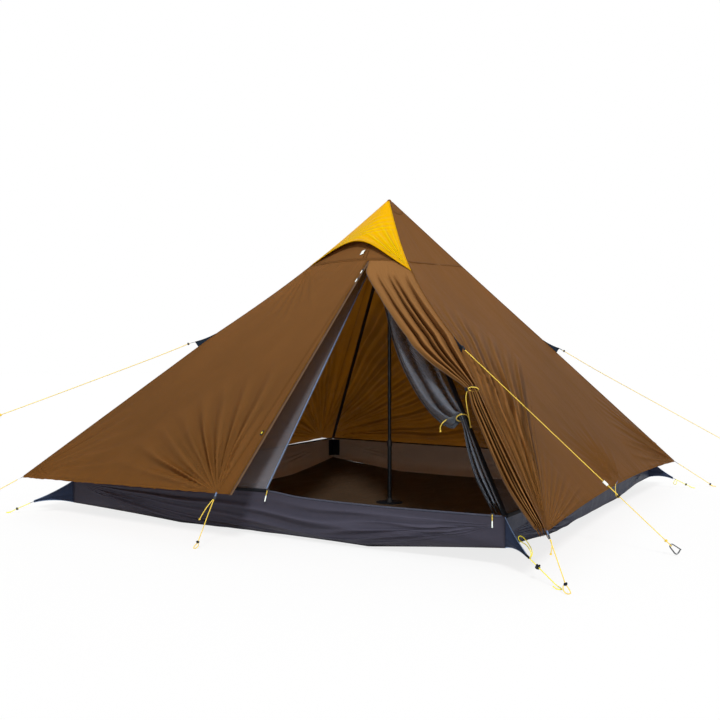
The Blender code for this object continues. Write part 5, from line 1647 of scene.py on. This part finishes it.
class TENT_OT_tub(bpy.types.Operator):
    """Fold up the tub: four walls, the floor, the corner wings, the pocket and the pole pad"""
    bl_idname = "tent.tub"
    bl_label = "Tub"

    def execute(self, context):
        depth = context.scene.tent_sizes.fold_depth
        for index, first in enumerate(CORNERS):
            second, side = next_corner(first), TUB_SIDES[first]
            surface = tub_wall(first, second)
            fans = [fan(surface(0.0, 0.2), surface(0.6, 0.02), surface(0.4, 1.0), 4, 0.1, 1.9, depth * 0.4,
                        71.0 + index, 1.0),
                    fan(surface(1.0, 0.3), surface(0.6, 1.0), surface(0.5, 0.05), 4, 0.08, 1.1, depth * 0.4,
                        75.0 + index, 1.0)]
            if side == "front":
                fans.append(self.crease)
            folds = relief(fans, [crinkle(depth * 0.16, 5, 0.8, 80.0 + index)])

            def height(across, down, point, folds=folds):
                return folds(across, down, point) * ease(down, 0.08, 0.45)
            # Painted shade: the right wall takes the darker, bluer tub side cloth.
            finish = "tub_side" if side == "right" else "tub"
            item = sewn_sheet(f"tub_{side}_wall_cloth", surface, (150, 26), 0.0012, finish, height,
                              (f"tub_{side}_wall",), inside="lining")
        item = sewn_sheet("tub_floor_cloth", floor_surface, (90, 90), 0.0012, "floor", self.floor_folds,
                          ("tub_floor",), side=1.0)
        for name in CORNERS:
            self.wing(name)
        self.pocket()
        self.pole_pad()
        return {"FINISHED"}

    def crease(self, point):
        """The slack fold that runs down the sill to the right."""
        start, end = Vector((0.4, 0, 0.182)), Vector((1.15, 0, 0.106))
        place = (point.x - start.x) / (end.x - start.x)
        if not 0 < place < 1:
            return 0
        line = start.z + (end.z - start.z) * place
        rise = (point.z - line) / 0.022
        return 0.012 * exp(-rise ** 2) * ease(place, 0, 0.2) * ease(1 - place, 0, 0.2)

    def floor_folds(self, across, down, point):
        """Waves of the slack floor, flat at its edges and around the pole."""
        wave = noise.noise(Vector((across * 13, down * 11, 91.0))) + noise.noise(Vector((across * 5, down * 6, 95.0)))
        held = ease(min(across, 1 - across, down, 1 - down), 0, 0.04)
        clear = ease(level(point).length, 0.1, 0.2)
        return 0.0045 * max(wave, 0) * held * clear

    def wing(self, name):
        """A tie-out wing with a drawn-in lower edge, pale edging and a webbing tail."""
        corner, ground = tub_corner(name).to_3d(), Vector(TUB_GROUNDS[name])
        out = level(ground - corner).normalized()
        low = tub_corner_lift * TUB_SHARES[name][2] + tub_cloth
        high = TUB_SHARES[name][3] * tub_wall_top - tub_cloth
        reach, rise = WING_SHARES[name][0] * wing_reach, WING_SHARES[name][1] * wing_tip_height
        tip = corner + out * reach + up * rise
        start = corner - out * tub_cloth
        side = up.cross(out)

        def surface(across, down):
            over = start + up * high
            under = start + up * low
            top_edge = over.lerp(tip + up * 0.005, across) - up * 0.008 * bulge(across)
            low_edge = under.lerp(tip - up * 0.005, across) + up * 0.012 * bulge(across)
            sway = side * 0.006 * sin(pi * across) * sin(2 * pi * down)
            return top_edge.lerp(low_edge, down) + sway
        # Painted shade: the wings take the darker, bluer tub side cloth.
        sewn_sheet(f"tub_wing_{name}_cloth", surface, (24, 14), 0.0016, "tub_side",
                   replaces=("tub_wing_" + name,), side=0.0)
        for edge, down in (("upper", 0), ("lower", 1)):
            points = [surface(step / 24, down) for step in range(25)]
            place_tube(f"tub_wing_{name}_{edge}_edge", points, 0.0018, "edging", 6)
        away = (ground - tip).normalized()
        tape(f"tub_wing_{name}_tail", lambda down: tip - away * 0.03 + away * (wing_tail + 0.03) * down,
             side, 0.012, Vector(), "webbing", 10, 0.0018)

    def pocket(self):
        """The black pocket by the back left corner, with its elastic top."""
        corner = wall_top("back_right", "back_left", 1)
        back_way = level(wall_top("back_right", "back_left", 0) - corner).normalized()
        left_way = level(wall_top("back_left", "front_left", 1) - corner).normalized()

        def surface(across, down):
            aside = (across - 0.5) * 0.125
            way = back_way if aside > 0 else left_way
            point = level(corner) + way * abs(aside) + up * (0.203 - 0.122 * down)
            return point + inward(corner) * (0.011 + 0.004 * sin(pi * across) * down)
        sewn_sheet("corner_pocket_cloth", surface, (20, 16), 0.0012, "webbing",
                   replaces=("corner_pocket",), side=0.0)
        rim = [surface(step / 20, 0) for step in range(21)]
        place_tube("corner_pocket_rim", rim, 0.0022, "webbing", 6)

    def pole_pad(self):
        """The stitched pad that takes the pole's foot."""
        def surface(across, down):
            turn = 2 * pi * across
            reach = 0.0195 + 0.06 * (1 - down)
            return Vector((cos(turn) * reach, sin(turn) * reach, 0.003))
        sewn_sheet("pole_pad", surface, (48, 6), 0.0012, "binding", side=0.0)


class TENT_OT_hardware(bpy.types.Operator):
    """Finish the pole, the sliders, the pulls, the runner and the carabiner"""
    bl_idname = "tent.hardware"
    bl_label = "Pole and hardware"

    def execute(self, context):
        kept = {
            "pole": ("pole_bottom_tube", "pole_lower_tube", "pole_middle_tube", "pole_top_tube"),
            "rubber": ("pole_foot", "pole_cup"),
            "plastic": ("pole_lock_collar", "fly_upper_slider", "fly_lower_slider", "inner_side_slider",
                        "inner_sill_slider"),
            "pull": ("guy_runner",),
            "steel": ("carabiner_body", "carabiner_gate"),
        }
        for finish, nodes in kept.items():
            for name in nodes:
                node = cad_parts[name]
                node.data.materials.clear()
                node.data.materials.append(finishes[finish])
        self.pull("fly_upper_pull", "upper_pull", 0.0)
        self.pull("fly_lower_pull", "lower_pull", 0.0)
        self.pull("inner_side_toggle", "side_toggle", 0.45)
        self.pull("inner_sill_toggle", "sill_toggle", 0.45)
        return {"FINISHED"}

    def pull(self, node, body, cord_part):
        """A moulded pull on a doubled cord, in the place of a plain rod."""
        points = [vertex.co.copy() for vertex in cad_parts[node].data.vertices]
        middle = sum(points, Vector()) / len(points)
        far = max(points, key=lambda point: (point - middle).length)
        near = max(points, key=lambda point: (point - far).length)
        ends = []
        for tip in (near, far):
            close = [point for point in points if (point - tip).length < 0.006]
            ends.append(sum(close, Vector()) / len(close))
        start, end = sorted(ends, key=lambda point: -point.z)
        split = start.lerp(end, max(cord_part, 0.16))
        way = (end - start).normalized()
        side = way.orthogonal().normalized()
        for sign in (-1, 1):
            line = [start + side * sign * 0.0004, start.lerp(split, 0.4) + side * sign * 0.0013,
                    split + side * sign * 0.001 + way * 0.002]
            place_tube(f"{node}_strand_{sign + 1}", route_points(line, 0.002), 0.0009,
                       "cord" if cord_part else "black_cord", 6, body)
        steps = 14

        def wide(place):
            swell = 0.72 + 0.28 * ease(place, 0, 0.25) + 0.16 * ease(place, 0.7, 0.95)
            groove = 1 - 0.08 * (sin(place * pi * 7) > 0.6)
            return 0.0027 * swell * groove * (0.6 if place in (0, 1) else 1)
        grip = [split.lerp(end, step / steps) for step in range(steps + 1)]
        place_tube(node + "_grip", grip, wide, "pull", 12, body, (node,))


class TENT_PT_panel(bpy.types.Panel):
    """Lists the tent's pieces in the order in which they are made"""
    bl_idname = "TENT_PT_panel"
    bl_label = "Pyramid tent"
    bl_space_type = "VIEW_3D"
    bl_region_type = "UI"
    bl_category = "Tent"

    def draw(self, context):
        for operator in OPERATORS:
            self.layout.operator(operator.bl_idname)
        for name in TentSizes.__annotations__:
            self.layout.prop(context.scene.tent_sizes, name)
        for name in TentColours.__annotations__:
            self.layout.prop(context.scene.tent_colours, name)


OPERATORS = (TENT_OT_stage, TENT_OT_cords, TENT_OT_fly, TENT_OT_seams, TENT_OT_hood, TENT_OT_door,
             TENT_OT_fittings, TENT_OT_inner, TENT_OT_tub, TENT_OT_hardware)
CLASSES = (TentSizes, TentColours, *OPERATORS, TENT_PT_panel)


def register():
    for each in CLASSES:
        bpy.utils.register_class(each)
    bpy.types.Scene.tent_sizes = bpy.props.PointerProperty(type=TentSizes)
    bpy.types.Scene.tent_colours = bpy.props.PointerProperty(type=TentColours)


def unregister():
    del bpy.types.Scene.tent_colours
    del bpy.types.Scene.tent_sizes
    for each in reversed(CLASSES):
        bpy.utils.unregister_class(each)


def main():
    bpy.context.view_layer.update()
    register()
    finishes.update(build_materials())
    bpy.ops.tent.stage()
    bpy.ops.tent.cords()
    bpy.ops.tent.fly()
    bpy.ops.tent.seams()
    bpy.ops.tent.hood()
    bpy.ops.tent.door()
    bpy.ops.tent.fittings()
    bpy.ops.tent.inner()
    bpy.ops.tent.tub()
    bpy.ops.tent.hardware()


if __name__ == "__main__":
    main()
